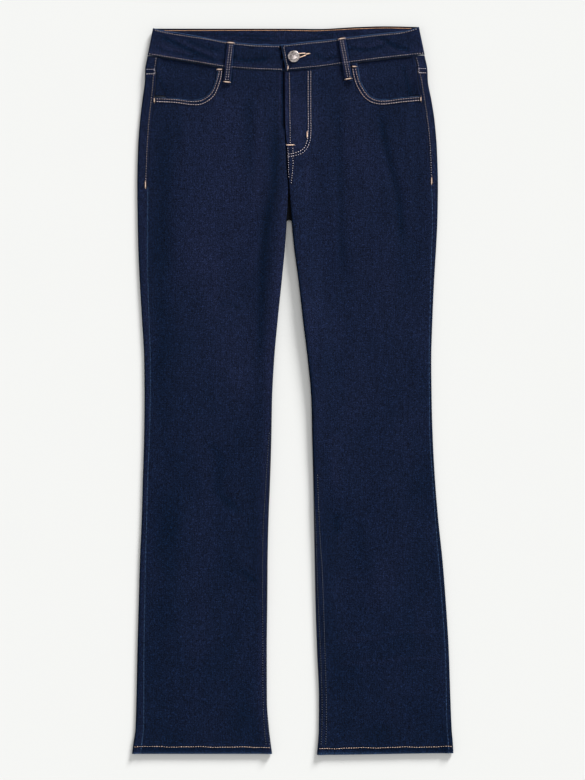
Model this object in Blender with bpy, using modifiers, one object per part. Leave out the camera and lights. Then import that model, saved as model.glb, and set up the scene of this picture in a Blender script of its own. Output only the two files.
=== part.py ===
"""Bootcut jeans laid flat on a surface, front up.

Frame: metres, +Z up from the surface, +Y towards the waist, +X towards the wearer's left.
The origin is under the middle of the garment. Sizes below are in millimetres.
"""
import math
from collections import namedtuple

import bmesh
import bpy

MM = 0.001

# Cloth thickness
WALL = 1.2  # one layer of denim
HEM_WALL = 1.9  # the turned-up hem
HEM_DEPTH = 13.0
BAND_WALL = 2.2  # the waistband, two layers and its stiffener
LOOP_WALL = 1.9  # a belt loop, three layers
SEAM_GAP = 0.4
WAIST_SEAM_GAP = 1.0  # along the waistband's curved lower edge
LAYER_GAP = 0.6  # between one layer and the next that laps it

# Shape of a folded edge
FOLD_RADIUS = 2.2
HEM_FOLD_RADIUS = 2.9
BAND_FOLD_RADIUS = 3.0
SWELL = 13.0  # how far in from a fold the cloth reaches its own height

# Heights along the garment
WAIST_LIFT = 2.3  # the back rests on its belt loops at the waist
POCKET_LIFT = 1.55  # and on its pockets at the seat
RISE_END = 300.0  # the front rise seam ends here, and the thighs part
CROTCH = 246.0  # the back rise seam ends here, and the legs part
CENTRE_BACK = -5.6
BACK_EASE = 16.0  # below the crotch, the back's inner edge turns into a fold over this height
INSEAM_PATH = 0.9  # the least that the back panel comes up round the inner fold
FRONT_TOP = 475.0  # a row's own height at a panel's upper edge, before the row follows that edge
BACK_TOP = 440.0
SLANT_REACH = 130.0  # rows are level from here below a slanted upper edge
YOKE_SIDES = {"right": 461.7, "left": 463.2}
YOKE_DIP = 421.0  # the yoke's lower edge at the centre back
BAND_GAP = 1.6  # between the waistband's front and back

BAND_FRONT = WAIST_LIFT + 2.0 * BAND_WALL + BAND_GAP  # height of the band's front face
BAND_LAP = 19.0  # the band's left end comes down again from here on
BAND_TURN = 12.0  # path over a side fold, where the band's even columns end

# Places across a panel
EDGE_MARGIN = 14.0  # in from its inner edge, where its even columns end
SEAM_MARGIN = 9.0  # in from its side seam
UNDER_MARGIN = 12.0  # in from the outer fold, under the back

Section = namedtuple("Section", "y outer inner outseam inseam")
# outer and inner are x of a leg's edges; outseam and inseam lie that far in from them, on the front face
RIGHT_LEG = [
    Section(-527, -233.4, -29.9, 12.0, 0.0),
    Section(-510, -231.1, -32.2, 11.6, 0.0),
    Section(-492, -228.5, -34.4, 11.2, 0.0),
    Section(-449, -227.1, -37.4, 10.3, 0.0),
    Section(-376, -225.6, -37.6, 9.0, 0.0),
    Section(-304, -223.6, -36.8, 8.4, 0.0),
    Section(-246, -222.0, -36.4, 7.6, 0.0),
    Section(-188, -219.4, -35.1, 6.8, 0.0),
    Section(-130, -217.8, -32.8, 6.6, 0.0),
    Section(-72, -216.0, -31.0, 7.2, 0.0),
    Section(-14, -215.3, -30.0, 7.8, 0.0),
    Section(44, -215.8, -27.0, 8.4, 0.0),
    Section(102, -218.9, -21.8, 9.8, 0.0),
    Section(160, -222.3, -15.8, 11.5, 0.0),
    Section(212, -224.5, -10.9, 13.0, 0.0),
    Section(246, -225.2, -8.6, 14.0, 0.0),
    Section(298, -225.8, -6.3, 15.0, 0.0),
    Section(349, -224.8, -5.6, 16.2, 0.0),
    Section(392, -221.9, -5.6, 16.4, 0.0),
    Section(421, -218.4, -5.6, 16.4, 0.0),
    Section(450, -214.6, -5.6, 16.0, 0.0),
    Section(465, -214.2, -5.6, 15.5, 0.0),
    Section(487, -210.3, -5.6, 14.0, 0.0),
]
LEFT_LEG = [
    Section(-527, 233.2, 34.9, 6.0, 2.5),
    Section(-510, 232.3, 36.6, 6.0, 3.0),
    Section(-492, 230.8, 37.7, 6.0, 3.2),
    Section(-449, 229.0, 38.0, 5.4, 3.5),
    Section(-376, 226.5, 35.2, 4.6, 3.8),
    Section(-304, 222.0, 32.9, 5.0, 2.4),
    Section(-246, 217.4, 31.8, 5.0, 1.6),
    Section(-188, 211.3, 30.7, 3.6, 0.8),
    Section(-130, 206.6, 29.7, 2.8, 0.3),
    Section(-72, 203.4, 28.1, 3.6, 0.0),
    Section(-14, 201.7, 26.8, 2.8, 0.0),
    Section(44, 201.1, 21.6, 2.6, 0.0),
    Section(102, 202.7, 14.6, 3.0, 0.0),
    Section(160, 205.3, 7.5, 4.4, 0.0),
    Section(212, 208.4, 0.4, 6.0, 0.0),
    Section(246, 210.0, -2.9, 7.5, 0.0),
    Section(298, 210.8, -5.4, 11.5, 0.0),
    Section(349, 209.4, -5.6, 12.8, 0.0),
    Section(392, 205.9, -5.6, 13.0, 0.0),
    Section(421, 201.4, -5.6, 13.2, 0.0),
    Section(450, 196.0, -5.6, 14.2, 0.0),
    Section(465, 195.4, -5.6, 14.5, 0.0),
    Section(487, 191.0, -5.6, 14.5, 0.0),
]
LEGS = {"right": RIGHT_LEG, "left": LEFT_LEG}
OUTWARD = {"right": -1.0, "left": 1.0}

FrontEdge = namedtuple("FrontEdge", "y right left")
# x of each front panel's inner edge above the crotch: the left one laps the right one at the fly
FRONT_EDGES = [
    FrontEdge(246, -8.6, -2.9),
    FrontEdge(290, -6.6, -5.0),
    FrontEdge(302, -6.4, -5.5),
    FrontEdge(314, -3.4, -6.6),
    FrontEdge(339, -3.2, -8.1),
    FrontEdge(359, -3.4, -9.0),
    FrontEdge(392, -3.8, -11.5),
    FrontEdge(462, -4.1, -12.3),
    FrontEdge(487, -4.1, -13.0),
]

BandEdge = namedtuple("BandEdge", "x top low")
FRONT_BAND = [
    BandEdge(-211, 525.4, 486.5),
    BandEdge(-203, 525.3, 485.4),
    BandEdge(-190, 521.8, 483.3),
    BandEdge(-170, 519.3, 480.1),
    BandEdge(-139, 513.9, 475.2),
    BandEdge(-100, 506.8, 468.6),
    BandEdge(-58, 502.3, 465.0),
    BandEdge(-15, 501.0, 463.4),
    BandEdge(10, 504.0, 465.0),
    BandEdge(35, 506.9, 467.9),
    BandEdge(70, 510.7, 472.8),
    BandEdge(105, 515.2, 477.5),
    BandEdge(140, 518.9, 481.7),
    BandEdge(165, 521.6, 484.3),
    BandEdge(176, 524.4, 485.7),
    BandEdge(183, 527.2, 486.6),
    BandEdge(192, 527.2, 487.3),
]
BACK_BAND = [
    BandEdge(-211, 525.4, 486.5),
    BandEdge(-100, 525.3, 489.0),
    BandEdge(-5, 525.3, 490.0),
    BandEdge(36, 524.9, 490.0),
    BandEdge(93, 527.7, 489.5),
    BandEdge(134, 528.8, 489.0),
    BandEdge(183, 527.7, 487.6),
    BandEdge(192, 527.2, 487.3),
]
BandSide = namedtuple("BandSide", "drop right left")
# x of the waistband's side folds and its ends, from its top edge (0) to its lower edge (1)
BAND_SIDES = [BandSide(0, -202.9, 183.1), BandSide(1, -210.6, 191.4)]
BAND_ENDS = [BandSide(0, 15.0, -17.2), BandSide(1, 15.0, -9.6)]

Lift = namedtuple("Lift", "y right left")
# how far each leg's inner edge stands off the surface, easing down to nothing across LIFT_WIDTH
LIFTS = [
    Lift(-527, 0.0, 0.0),
    Lift(-430, 0.2, 0.9),
    Lift(-330, 0.8, 2.0),
    Lift(-240, 1.2, 3.0),
    Lift(-150, 1.8, 4.2),
    Lift(-60, 2.6, 5.6),
    Lift(40, 4.0, 7.0),
    Lift(120, 5.0, 7.5),
    Lift(200, 5.8, 6.8),
    Lift(246, 6.0, 6.0),
    Lift(300, 4.0, 4.0),
    Lift(350, 1.6, 1.6),
    Lift(400, 0.0, 0.0),
]
LIFT_WIDTH = 48.0

Gap = namedtuple("Gap", "y gap")
# room between the back and front layers
GAPS = [
    Gap(-527, 2.0),
    Gap(-480, 2.1),
    Gap(-100, 2.3),
    Gap(150, 2.4),
    Gap(300, 2.7),
    Gap(390, 3.0),
    Gap(487, 3.0),
]

Fold = namedtuple("Fold", "height width path")
# soft ridges (+) and troughs (-) of the front, each along a path of x, y from its top end to its bottom end
FOLDS = [
    Fold(-1.1, 8.0, ((-24, 430), (-27, 295), (-36, 255), (-43, 200), (-48, 60), (-56, -10))),
    Fold(0.7, 10.0, ((-48, 430), (-46, 350), (-50, 290))),
    Fold(-0.6, 12.0, ((-66, 420), (-62, 340), (-56, 300))),
    Fold(0.5, 9.0, ((-163, 410), (-161, 330), (-165, 250))),
    Fold(-1.0, 8.0, ((64, 440), (69, 350), (70, 230), (76, 150), (78, 110))),
    Fold(-1.3, 8.0, ((124, 420), (129, 375), (141, 325), (154, 280), (157, 235), (158, 190))),
    Fold(0.6, 12.0, ((100, 400), (104, 300), (112, 200))),
    Fold(0.5, 7.0, ((20, 350), (20, 300), (17, 262))),
    Fold(0.6, 14.0, ((-98, 40), (-70, -5), (-54, -30))),
    Fold(-0.6, 12.0, ((-112, -70), (-108, -140), (-66, -185))),
]

PocketPoint = namedtuple("PocketPoint", "x y")
# edge of each front pocket's opening, from the side seam to the waistband
SCOOPS = {
    "right": [
        PocketPoint(-204.0, 425.0),
        PocketPoint(-171.4, 424.0),
        PocketPoint(-146.9, 421.4),
        PocketPoint(-130.9, 424.3),
        PocketPoint(-118.6, 434.4),
        PocketPoint(-110.6, 453.3),
        PocketPoint(-107.5, 474.0),
    ],
    "left": [
        PocketPoint(190.0, 427.4),
        PocketPoint(157.6, 424.9),
        PocketPoint(129.1, 421.7),
        PocketPoint(113.8, 426.3),
        PocketPoint(105.0, 436.2),
        PocketPoint(97.9, 450.4),
        PocketPoint(92.4, 476.0),
    ],
}
FACING_REACH = 20.0  # how far a facing runs on behind the panel

BACK_POCKET_CENTRE = 92.0  # from the centre back
BACK_POCKET_TOP = 64.0  # half its width at the top
BACK_POCKET_FOOT = 56.0
BACK_POCKET_HEIGHTS = (402.0, 412.0, 290.0, 270.0)  # inner top, outer top, lower corners, point

LOOP_WIDTH = 11.5
FrontLoop = namedtuple("FrontLoop", "top_x top_y foot_x foot_y")
FRONT_LOOPS = [
    FrontLoop(-89.4, 506.5, -95.6, 443.5),
    FrontLoop(70.6, 512.5, 81.2, 448.0),
]
BACK_LOOP_OFFSETS = (-118.0, 0.0, 118.0)  # from the centre back
BACK_LOOP_TOP = 527.0
BACK_LOOP_FOOT = 465.0
LOOP_BOW = 1.0  # how far a loop stands off the band between its tacks

FLY_WIDTH = 25.0  # right of the centre front, where the facing behind the fly ends
FLY_FOOT = 345.0
ZIP_EDGES = (-2.4, 16.0)
ZIP_ENDS = (352.0, 458.0)

BUTTON_CENTRE = (1.45, 483.7)
BUTTON_RADIUS = 8.5
SHANK_RADIUS = 2.6
BUTTONHOLE_END = (23.0, 487.8)
BUTTONHOLE_WIDTH = 6.2
BUTTONHOLE_SLIT = 1.6

Colour = namedtuple("Colour", "red green blue metallic roughness")
DENIM = Colour(0.012, 0.018, 0.043, 0.0, 0.85)
DENIM_INSIDE = Colour(0.03, 0.035, 0.055, 0.0, 0.9)
ZIP_TAPE = Colour(0.015, 0.017, 0.03, 0.0, 0.8)
BUTTON_METAL = Colour(0.55, 0.42, 0.36, 1.0, 0.35)


# Reading the tables

def mix(a, b, t):
    return a + (b - a) * t


def soft(t):
    """0 up to 0, 1 from 1 on, and a soft S between."""
    t = min(max(t, 0.0), 1.0)
    return t * t * (3.0 - 2.0 * t)


def read(table, column, at):
    """A column of a table, on a smooth curve through its rows that never overshoots them."""
    values = [getattr(row, column) for row in table]
    places = [row[0] for row in table]
    if at <= places[0]:
        return values[0]
    if at >= places[-1]:
        return values[-1]
    i = max(k for k in range(len(places) - 1) if places[k] <= at)
    slopes = [(values[k + 1] - values[k]) / (places[k + 1] - places[k]) for k in range(len(places) - 1)]

    def tangent(k):
        if k == 0:
            return slopes[0]
        if k == len(slopes):
            return slopes[-1]
        before, after = slopes[k - 1], slopes[k]
        return 0.0 if before * after <= 0.0 else 2.0 * before * after / (before + after)

    span = places[i + 1] - places[i]
    t = (at - places[i]) / span
    start = values[i] * (1 + 2 * t) * (1 - t) ** 2 + tangent(i) * span * t * (1 - t) ** 2
    end = values[i + 1] * t * t * (3 - 2 * t) + tangent(i + 1) * span * t * t * (t - 1)
    return start + end


# Heights of the two layers' outer faces

def fold_height(x, y):
    """Sum of the front's ridges and troughs at a place."""
    total = 0.0
    for fold in FOLDS:
        top, foot = fold.path[0][1], fold.path[-1][1]
        ease = 0.2 * (top - foot)
        along = soft((top - y) / ease) * soft((y - foot) / ease)
        if along == 0.0:
            continue
        centre = fold.path[-1][0]
        for (x0, y0), (x1, y1) in zip(fold.path, fold.path[1:]):
            if y1 <= y <= y0:
                centre = mix(x0, x1, (y0 - y) / (y0 - y1))
        total += fold.height * along * math.exp(-(((x - centre) / fold.width) ** 2))
    return total


def edge_lift(x, y):
    """How far the cloth stands off the surface beside the inseams and the crotch."""
    half = "right" if x < CENTRE_BACK else "left"
    away = abs(x - read(LEGS[half], "inner", y))
    return read(LIFTS, half, y) * (1.0 - soft(away / LIFT_WIDTH))


def back_height(x, y):
    """The back's outer face: on the surface, but lifted by its belt loops, its pockets and the crotch."""
    waist = WAIST_LIFT * soft((y - 400.0) / 55.0)
    low, high = BACK_POCKET_HEIGHTS[3], BACK_POCKET_HEIGHTS[1]
    beside = max(abs(abs(x - CENTRE_BACK) - BACK_POCKET_CENTRE) - BACK_POCKET_TOP, 0.0)
    above = max(y - high, low - y, 0.0)
    pocket = POCKET_LIFT * (1.0 - soft((math.hypot(beside, above) - 13.0) / 20.0))
    return max(waist, pocket) + edge_lift(x, y)


def front_height(x, y):
    """The front's outer face, away from the folded edges."""
    return back_height(x, y) + 2.0 * WALL + read(GAPS, "gap", y) + fold_height(x, y)


def lap_rise(x, y):
    """How far the left front rises where it lies on the right front and the zip."""
    reach = mix(0.0, FLY_WIDTH, soft((y - 322.0) / (FLY_FOOT - 322.0)))
    along = soft((y - 268.0) / 30.0)
    return (WALL + LAYER_GAP) * along * (1.0 - soft((x - reach) / 13.0))


# One half of the garment: a flattened tube with folded edges

def wall_at(y):
    return HEM_WALL if y <= -527.0 + HEM_DEPTH else WALL


def fold_radius(y):
    return mix(HEM_FOLD_RADIUS, FOLD_RADIUS, soft((y + 516.0) / 40.0))


def outer_x(half, y):
    return read(LEGS[half], "outer", y)


def front_inner_x(half, y):
    if y > CROTCH:
        return read(FRONT_EDGES, half, y)
    return read(LEGS[half], "inner", y)


def back_inner_x(half, y):
    if y > CROTCH:
        return CENTRE_BACK + OUTWARD[half] * SEAM_GAP / 2.0
    return read(LEGS[half], "inner", y)


def inset(path, radius):
    """How far in from a fold's edge a path over the fold has come."""
    quarter = radius * math.pi / 2.0
    if path < quarter:
        return radius * (1.0 - math.cos(path / radius))
    return radius + path - quarter


def path_over(distance, radius):
    """The path over the fold to a place that far in from its edge."""
    if distance < radius:
        return radius * math.acos(1.0 - distance / radius)
    return distance - radius + radius * math.pi / 2.0


def nose(distance, radius):
    """Height of a fold's round edge above or below its middle."""
    return math.sqrt(max(radius ** 2 - (radius - min(distance, radius)) ** 2, 0.0))


def front_face(half, x, y):
    """Height of the front's outer face at a place, from fold to fold."""
    radius = fold_radius(y)
    folded = soft((RISE_END - y) / (RISE_END - CROTCH))
    from_outer = abs(outer_x(half, y) - x)
    from_inner = abs(front_inner_x(half, y) - x)
    base = back_height(x, y) + radius
    height = front_height(x, y)
    if from_outer < radius:
        return base + nose(from_outer, radius)
    side = 1.0 - soft((from_outer - radius) / SWELL)
    height = mix(height, base + radius, side)
    if from_inner < radius:
        return mix(height, base + nose(from_inner, radius), folded)
    inner = folded * (1.0 - soft((from_inner - radius) / SWELL))
    return mix(height, base + radius, inner)


def back_face(half, x, y):
    """Height of the back's outer face at a place, from fold to fold."""
    radius = fold_radius(y)
    lift = back_height(x, y)
    folded = soft((CROTCH - y) / BACK_EASE)
    from_outer = abs(outer_x(half, y) - x)
    from_inner = abs(back_inner_x(half, y) - x)
    if from_outer < radius:
        return lift + radius - nose(from_outer, radius)
    if from_inner < radius:
        return mix(lift, lift + radius - nose(from_inner, radius), folded)
    return lift


def from_fold(half, y, path):
    """x of a place that far over the outer fold."""
    return outer_x(half, y) - OUTWARD[half] * inset(path, fold_radius(y))


def seam_path(half, y, column):
    return max(path_over(read(LEGS[half], column, y), fold_radius(y)), INSEAM_PATH)


# Meshes

def new_object(name, mesh, colour, collection):
    material = bpy.data.materials.new(name + "_finish")
    material.use_nodes = True
    shader = material.node_tree.nodes["Principled BSDF"]
    shader.inputs["Base Color"].default_value = (colour.red, colour.green, colour.blue, 1.0)
    shader.inputs["Metallic"].default_value = colour.metallic
    shader.inputs["Roughness"].default_value = colour.roughness
    mesh.materials.append(material)
    mesh.shade_smooth()
    mesh.set_sharp_from_angle(angle=math.radians(50))
    obj = bpy.data.objects.new(name, mesh)
    collection.objects.link(obj)
    return obj


def cloth(name, columns, rows, point, thickness, faces_up, colour, collection):
    """A wall of cloth. point(column, row) is on its outer face and thickness(y) goes in from there."""
    bm = bmesh.new()
    across, along = len(columns) - 1, len(rows) - 1
    bmesh.ops.create_grid(bm, x_segments=across, y_segments=along, size=0.5)
    grid = {}
    for vert in bm.verts:
        i, j = round((vert.co.x + 0.5) * across), round((vert.co.y + 0.5) * along)
        vert.co = [value * MM for value in point(columns[i], rows[j])]
        grid[i, j] = vert
    bm.normal_update()
    bm.faces.ensure_lookup_table()
    if (bm.faces[0].normal.z > 0.0) != faces_up:
        bmesh.ops.reverse_faces(bm, faces=bm.faces)
        bm.normal_update()
    shifts = {}
    for (i, j), vert in grid.items():
        normal = vert.normal
        beside = {0: 1, across: across - 1}.get(i)
        if beside is not None:
            normal = (2.0 * normal - grid[beside, j].normal).normalized()
        shifts[tuple(vert.co)] = -normal * thickness(vert.co.y / MM) * MM
    inner = bmesh.ops.extrude_face_region(bm, geom=bm.faces[:])
    for vert in inner["geom"]:
        if isinstance(vert, bmesh.types.BMVert):
            vert.co += shifts[tuple(vert.co)]
    bmesh.ops.recalc_face_normals(bm, faces=bm.faces)
    mesh = bpy.data.meshes.new(name)
    bm.to_mesh(mesh)
    bm.free()
    return new_object(name, mesh, colour, collection)


def flat_outline(name, outline, low, high, colour, collection):
    """A flat piece between two heights, as a filled 2D curve turned into a mesh."""
    curve = bpy.data.curves.new(name + "_outline", "CURVE")
    curve.dimensions = "2D"
    curve.fill_mode = "BOTH"
    curve.extrude = (high - low) / 2.0 * MM
    spline = curve.splines.new("POLY")
    spline.points.add(len(outline) - 1)
    for target, (x, y) in zip(spline.points, outline):
        target.co = (x * MM, y * MM, 0.0, 1.0)
    spline.use_cyclic_u = True
    shape = bpy.data.objects.new(name + "_outline", curve)
    collection.objects.link(shape)
    bpy.context.view_layer.update()
    mesh = bpy.data.meshes.new_from_object(shape.evaluated_get(bpy.context.evaluated_depsgraph_get()))
    bpy.data.objects.remove(shape)
    bm = bmesh.new()
    bm.from_mesh(mesh)
    bmesh.ops.remove_doubles(bm, verts=bm.verts, dist=0.00001)
    bmesh.ops.translate(bm, verts=bm.verts, vec=(0.0, 0.0, (low + high) / 2.0 * MM))
    bmesh.ops.recalc_face_normals(bm, faces=bm.faces)
    bm.to_mesh(mesh)
    bm.free()
    mesh.materials.clear()
    return new_object(name, mesh, colour, collection)


def cut(obj, cutter):
    cutter.hide_render = True
    cutter.display_type = "WIRE"
    modifier = obj.modifiers.new("Cut", "BOOLEAN")
    modifier.operation = "DIFFERENCE"
    modifier.object = cutter


# Rows, from the waist down: a place y, and how much of the slanted upper edge it still follows

LEG_ROWS = (205, 165, 120, 75, 30, -20, -75, -130, -190, -250, -310, -370, -430, -475, -500)
HEM_ROWS = (-513.9, -514.1, -527)


def slanted_rows(start, heights):
    """Rows that leave a slanted upper edge and grow level below it."""
    rows = [(start, 1.0)]
    rows += [(y, 1.0 - soft((start - y) / SLANT_REACH)) for y in heights]
    return rows + [(y, 0.0) for y in LEG_ROWS + HEM_ROWS]


def leveled(row, edge):
    y, follow = row
    start = edge[0]
    return y + follow * (edge[1] - start)


FRONT_ROWS = slanted_rows(FRONT_TOP, (450, 425, 400, 372, 345, 322, 302, 284, 265, 246, 228))
BACK_ROWS = slanted_rows(BACK_TOP, (425, 405, 380, 350, 318, 285, 258, 247, 245, 238, 229))
YOKE_ROWS = (0.0, 0.34, 0.67, 1.0)


# Pieces

def hem_line(half, x):
    """y of the hem: the left one slopes a little."""
    if half == "right":
        return -527.0
    return mix(-528.5, -526.0, soft((x - 35.0) / 198.0))


def finish_y(half, x, y):
    """Slides the last rows on to the hem line."""
    return y + (hem_line(half, x) + 527.0) * soft((-500.0 - y) / 27.0)


ACROSS = [t / 12.0 for t in range(13)]


def front_panel(half, collection):
    """From the side seam over the top to the centre front, and to the inseam below it."""
    outward = OUTWARD[half]
    places = [("seam", d) for d in (SEAM_GAP / 2.0, 4.0)]
    places += [("across", t) for t in ACROSS]
    places += [("fold", d) for d in (6.0, 3.6, 2.4, 1.2, 0.0)]

    def point(place, row):
        kind, value = place
        guess = {"seam": 0.0, "across": value, "fold": 1.0}[kind]
        x_guess = mix(outer_x(half, FRONT_TOP), front_inner_x(half, FRONT_TOP), guess)
        y = leveled(row, (FRONT_TOP, read(FRONT_BAND, "low", x_guess) - WAIST_SEAM_GAP))
        radius = fold_radius(y)
        start = seam_path(half, y, "outseam")
        edge = front_inner_x(half, y)
        folded = soft((RISE_END - y) / (RISE_END - CROTCH))
        if kind == "seam":
            x = from_fold(half, y, start + value)
        elif kind == "across":
            x = mix(from_fold(half, y, start + SEAM_MARGIN), edge + outward * EDGE_MARGIN, value)
        else:
            crotch_room = 1.0 - soft((CROTCH - y) / 60.0)
            path = value + seam_path(half, y, "inseam") + SEAM_GAP / 2.0 + crotch_room
            x = edge + outward * mix(value + SEAM_GAP / 2.0, inset(path, radius), folded)
        z = front_face(half, x, y)
        if half == "left":
            z += lap_rise(x, y)
        return x, finish_y(half, x, y), z

    return cloth("front_" + half, places, FRONT_ROWS, point, wall_at, True, DENIM, collection)


def loop_place(half, y, place, radius):
    """x, z of a place on the back's outline, from its centre or inseam round to its side seam."""
    kind, value = place
    outward = OUTWARD[half]
    edge = back_inner_x(half, y)
    folded = soft((CROTCH - y) / BACK_EASE)
    if kind == "inner":
        flat, path = value
        x = edge + outward * mix(flat, inset(path, radius), folded)
        return x, back_face(half, x, y)
    if kind == "inseam":
        flat, part = value
        path = part * (seam_path(half, y, "inseam") - SEAM_GAP / 2.0)
        x = edge + outward * mix(flat, inset(path, radius), folded)
        return x, mix(back_face(half, x, y), front_face(half, x, y), folded)
    if kind == "across":
        x = mix(edge + outward * EDGE_MARGIN, from_fold(half, y, UNDER_MARGIN), value)
        return x, back_face(half, x, y)
    if kind == "under":
        x = from_fold(half, y, value)
        return x, back_face(half, x, y)
    reach = seam_path(half, y, "outseam") - SEAM_GAP / 2.0
    x = from_fold(half, y, value * reach)
    return x, front_face(half, x, y)


# Places along the back's outline: distances from the centre back, or over the inner fold below the crotch
BACK_PLACES = [("inseam", (0.0, 1.0)), ("inseam", (0.6, 0.5))]
BACK_PLACES += [("inner", pair) for pair in ((1.2, 0.0), (2.2, 1.15), (3.2, 2.3), (4.2, 3.45), (7.0, 7.0))]
BACK_PLACES += [("across", t / 8.0) for t in range(9)]
BACK_PLACES += [("under", d) for d in (5.0, 3.45, 2.3, 1.15)]
BACK_PLACES += [("over", t) for t in (0.0, 0.1, 0.2, 0.32, 0.65, 1.0)]


def yoke_seam(half, place):
    """y of the yoke's lower edge: level where it wraps to the front, and dipping to the centre back."""
    kind, value = place
    if kind in ("over", "under"):
        return YOKE_SIDES[half]
    return mix(YOKE_DIP, YOKE_SIDES[half], value if kind == "across" else 0.0)


def waist_edge(half, place):
    """y of the waistband's lower edge along the back's outline."""
    kind, value = place
    edge = outer_x(half, 487.0)
    if kind == "over":
        return read(FRONT_BAND, "low", edge - OUTWARD[half] * 14.0 * value)
    if kind == "under":
        return read(BACK_BAND, "low", edge)
    return read(BACK_BAND, "low", mix(CENTRE_BACK, edge, value if kind == "across" else 0.0))


def back_panel(half, collection):
    """From the centre back, or the inseam, under the leg and over its outer fold to the side seam."""
    def point(place, row):
        y = leveled(row, (BACK_TOP, yoke_seam(half, place) - SEAM_GAP))
        x, z = loop_place(half, y, place, fold_radius(y))
        return x, finish_y(half, x, y), z

    cloth("back_" + half, BACK_PLACES, BACK_ROWS, point, wall_at, False, DENIM, collection)


def yoke(half, collection):
    """Between the waistband and the back panel."""
    def point(place, row):
        y = mix(waist_edge(half, place) - WAIST_SEAM_GAP, yoke_seam(half, place), row)
        x, z = loop_place(half, y, place, fold_radius(y))
        return x, y, z

    cloth("yoke_" + half, BACK_PLACES, YOKE_ROWS, point, wall_at, False, DENIM, collection)


def band_rise(x):
    """How far the waistband's left end rises where it lies on the right end."""
    return (BAND_WALL + LAYER_GAP) * (1.0 - soft((x - BAND_LAP) / 26.0))


def band_place(place, drop):
    """x, y, z on the waistband's outer face, round from its right end over the back to its left end."""
    part, value = place
    right, left = read(BAND_SIDES, "right", drop), read(BAND_SIDES, "left", drop)
    side = right if part.startswith("right") else left
    inward = 1.0 if part.startswith("right") else -1.0
    if part == "right_front":
        x = mix(read(BAND_ENDS, "right", drop), right + inset(BAND_TURN, BAND_FOLD_RADIUS), value)
    elif part == "left_front":
        x = mix(left - inset(BAND_TURN, BAND_FOLD_RADIUS), read(BAND_ENDS, "left", drop), value)
    elif part == "back":
        turned = inset(BAND_TURN, BAND_FOLD_RADIUS)
        x = mix(right + turned, left - turned, value)
    else:
        x = side + inward * inset(value, BAND_FOLD_RADIUS)
    on_front = part.endswith("front") or part.endswith("over")
    table = FRONT_BAND if on_front else BACK_BAND
    y = mix(read(table, "top", x), read(table, "low", x), drop)
    middle = WAIST_LIFT + BAND_FOLD_RADIUS
    height = nose(abs(side - x), BAND_FOLD_RADIUS)
    z = middle + height if on_front else middle - height
    if part == "left_front":
        z += band_rise(x)
    return x, y, z


def waistband(collection, cutters):
    places = [("right_front", t / 9.0) for t in range(9)]
    places += [("right_over", d) for d in (BAND_TURN, 4.7, 3.1, 1.6, 0.0)]
    places += [("right_under", d) for d in (1.6, 3.1, 4.7)]
    places += [("back", t / 10.0) for t in range(11)]
    places += [("left_under", d) for d in (4.7, 3.1, 1.6)]
    places += [("left_over", d) for d in (0.0, 1.6, 3.1, 4.7, BAND_TURN)]
    places += [("left_front", t) for t in (0.15, 0.31, 0.47, 0.63, 0.72, 0.77, 0.82, 0.87, 0.94, 1.0)]
    drops = [0.0, 0.33, 0.67, 1.0]
    band = cloth("waistband", places, drops, band_place, lambda y: BAND_WALL, True, DENIM, collection)
    outline = []
    x0, y0 = BUTTON_CENTRE
    x1, y1 = BUTTONHOLE_END
    along = math.atan2(y1 - y0, x1 - x0)
    for step in range(9):
        turn = along + math.pi / 2.0 + math.pi * step / 8.0
        radius = BUTTONHOLE_WIDTH / 2.0
        outline.append((x0 + radius * math.cos(turn), y0 + radius * math.sin(turn)))
    for side in (-1.0, 1.0):
        turn = along + side * math.pi / 2.0
        radius = BUTTONHOLE_SLIT / 2.0
        outline.append((x1 + radius * math.cos(turn), y1 + radius * math.sin(turn)))
    low = BAND_FRONT + LAYER_GAP / 2.0
    cut(band, flat_outline("buttonhole_cutter", outline, low, low + 8.0, DENIM, cutters))
    return band


def scoop(half, panel, cutters):
    """Cuts the pocket opening out of a front panel."""
    outward = OUTWARD[half]
    points = SCOOPS[half]
    outline = [(p.x, p.y) for p in points]
    outline.append((points[-1].x, 500.0))
    outline.append((points[0].x + outward * 20.0, 500.0))
    outline.append((points[0].x + outward * 20.0, points[0].y))
    cut(panel, flat_outline("scoop_cutter_" + half, outline, -5.0, 30.0, DENIM, cutters))


def pocket_facing(half, collection):
    """The denim behind a pocket opening: level with the side seam and the waistband, behind the panel elsewhere."""
    outward = OUTWARD[half]
    end = SCOOPS[half][-1].x - outward * FACING_REACH
    places = [t / 9.0 for t in range(10)]
    rows = [0.0, 0.25, 0.5, 0.75, 1.0]

    def point(place, row):
        top_guess = mix(outer_x(half, 480.0) - outward * 15.0, end, place)
        top = read(FRONT_BAND, "low", top_guess) - WAIST_SEAM_GAP
        foot = 428.0 - 24.0 * soft((place - 0.12) / 0.16)
        y = mix(top, foot, row)
        start = from_fold(half, y, seam_path(half, y, "outseam") + 2.0 * SEAM_GAP)
        x = mix(start, end, place)
        behind = soft((abs(x - start) - 1.0) / 9.0)
        z = front_face(half, x, y) - behind * (WALL + LAYER_GAP)
        return x, y, z

    cloth("pocket_facing_" + half, places, rows, point, wall_at, True, DENIM, collection)


def back_pocket(half, collection):
    """A plain five-sided patch pocket, under the seat."""
    outward = OUTWARD[half]
    centre = CENTRE_BACK + outward * BACK_POCKET_CENTRE
    inner_top, outer_top, corner, tip = BACK_POCKET_HEIGHTS
    outline = [
        (centre - outward * BACK_POCKET_TOP, inner_top),
        (centre + outward * BACK_POCKET_TOP, outer_top),
        (centre + outward * BACK_POCKET_FOOT, corner),
        (centre, tip),
        (centre - outward * BACK_POCKET_FOOT, corner),
    ]
    flat_outline("back_pocket_" + half, outline, 0.0, WALL, DENIM, collection)


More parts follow.
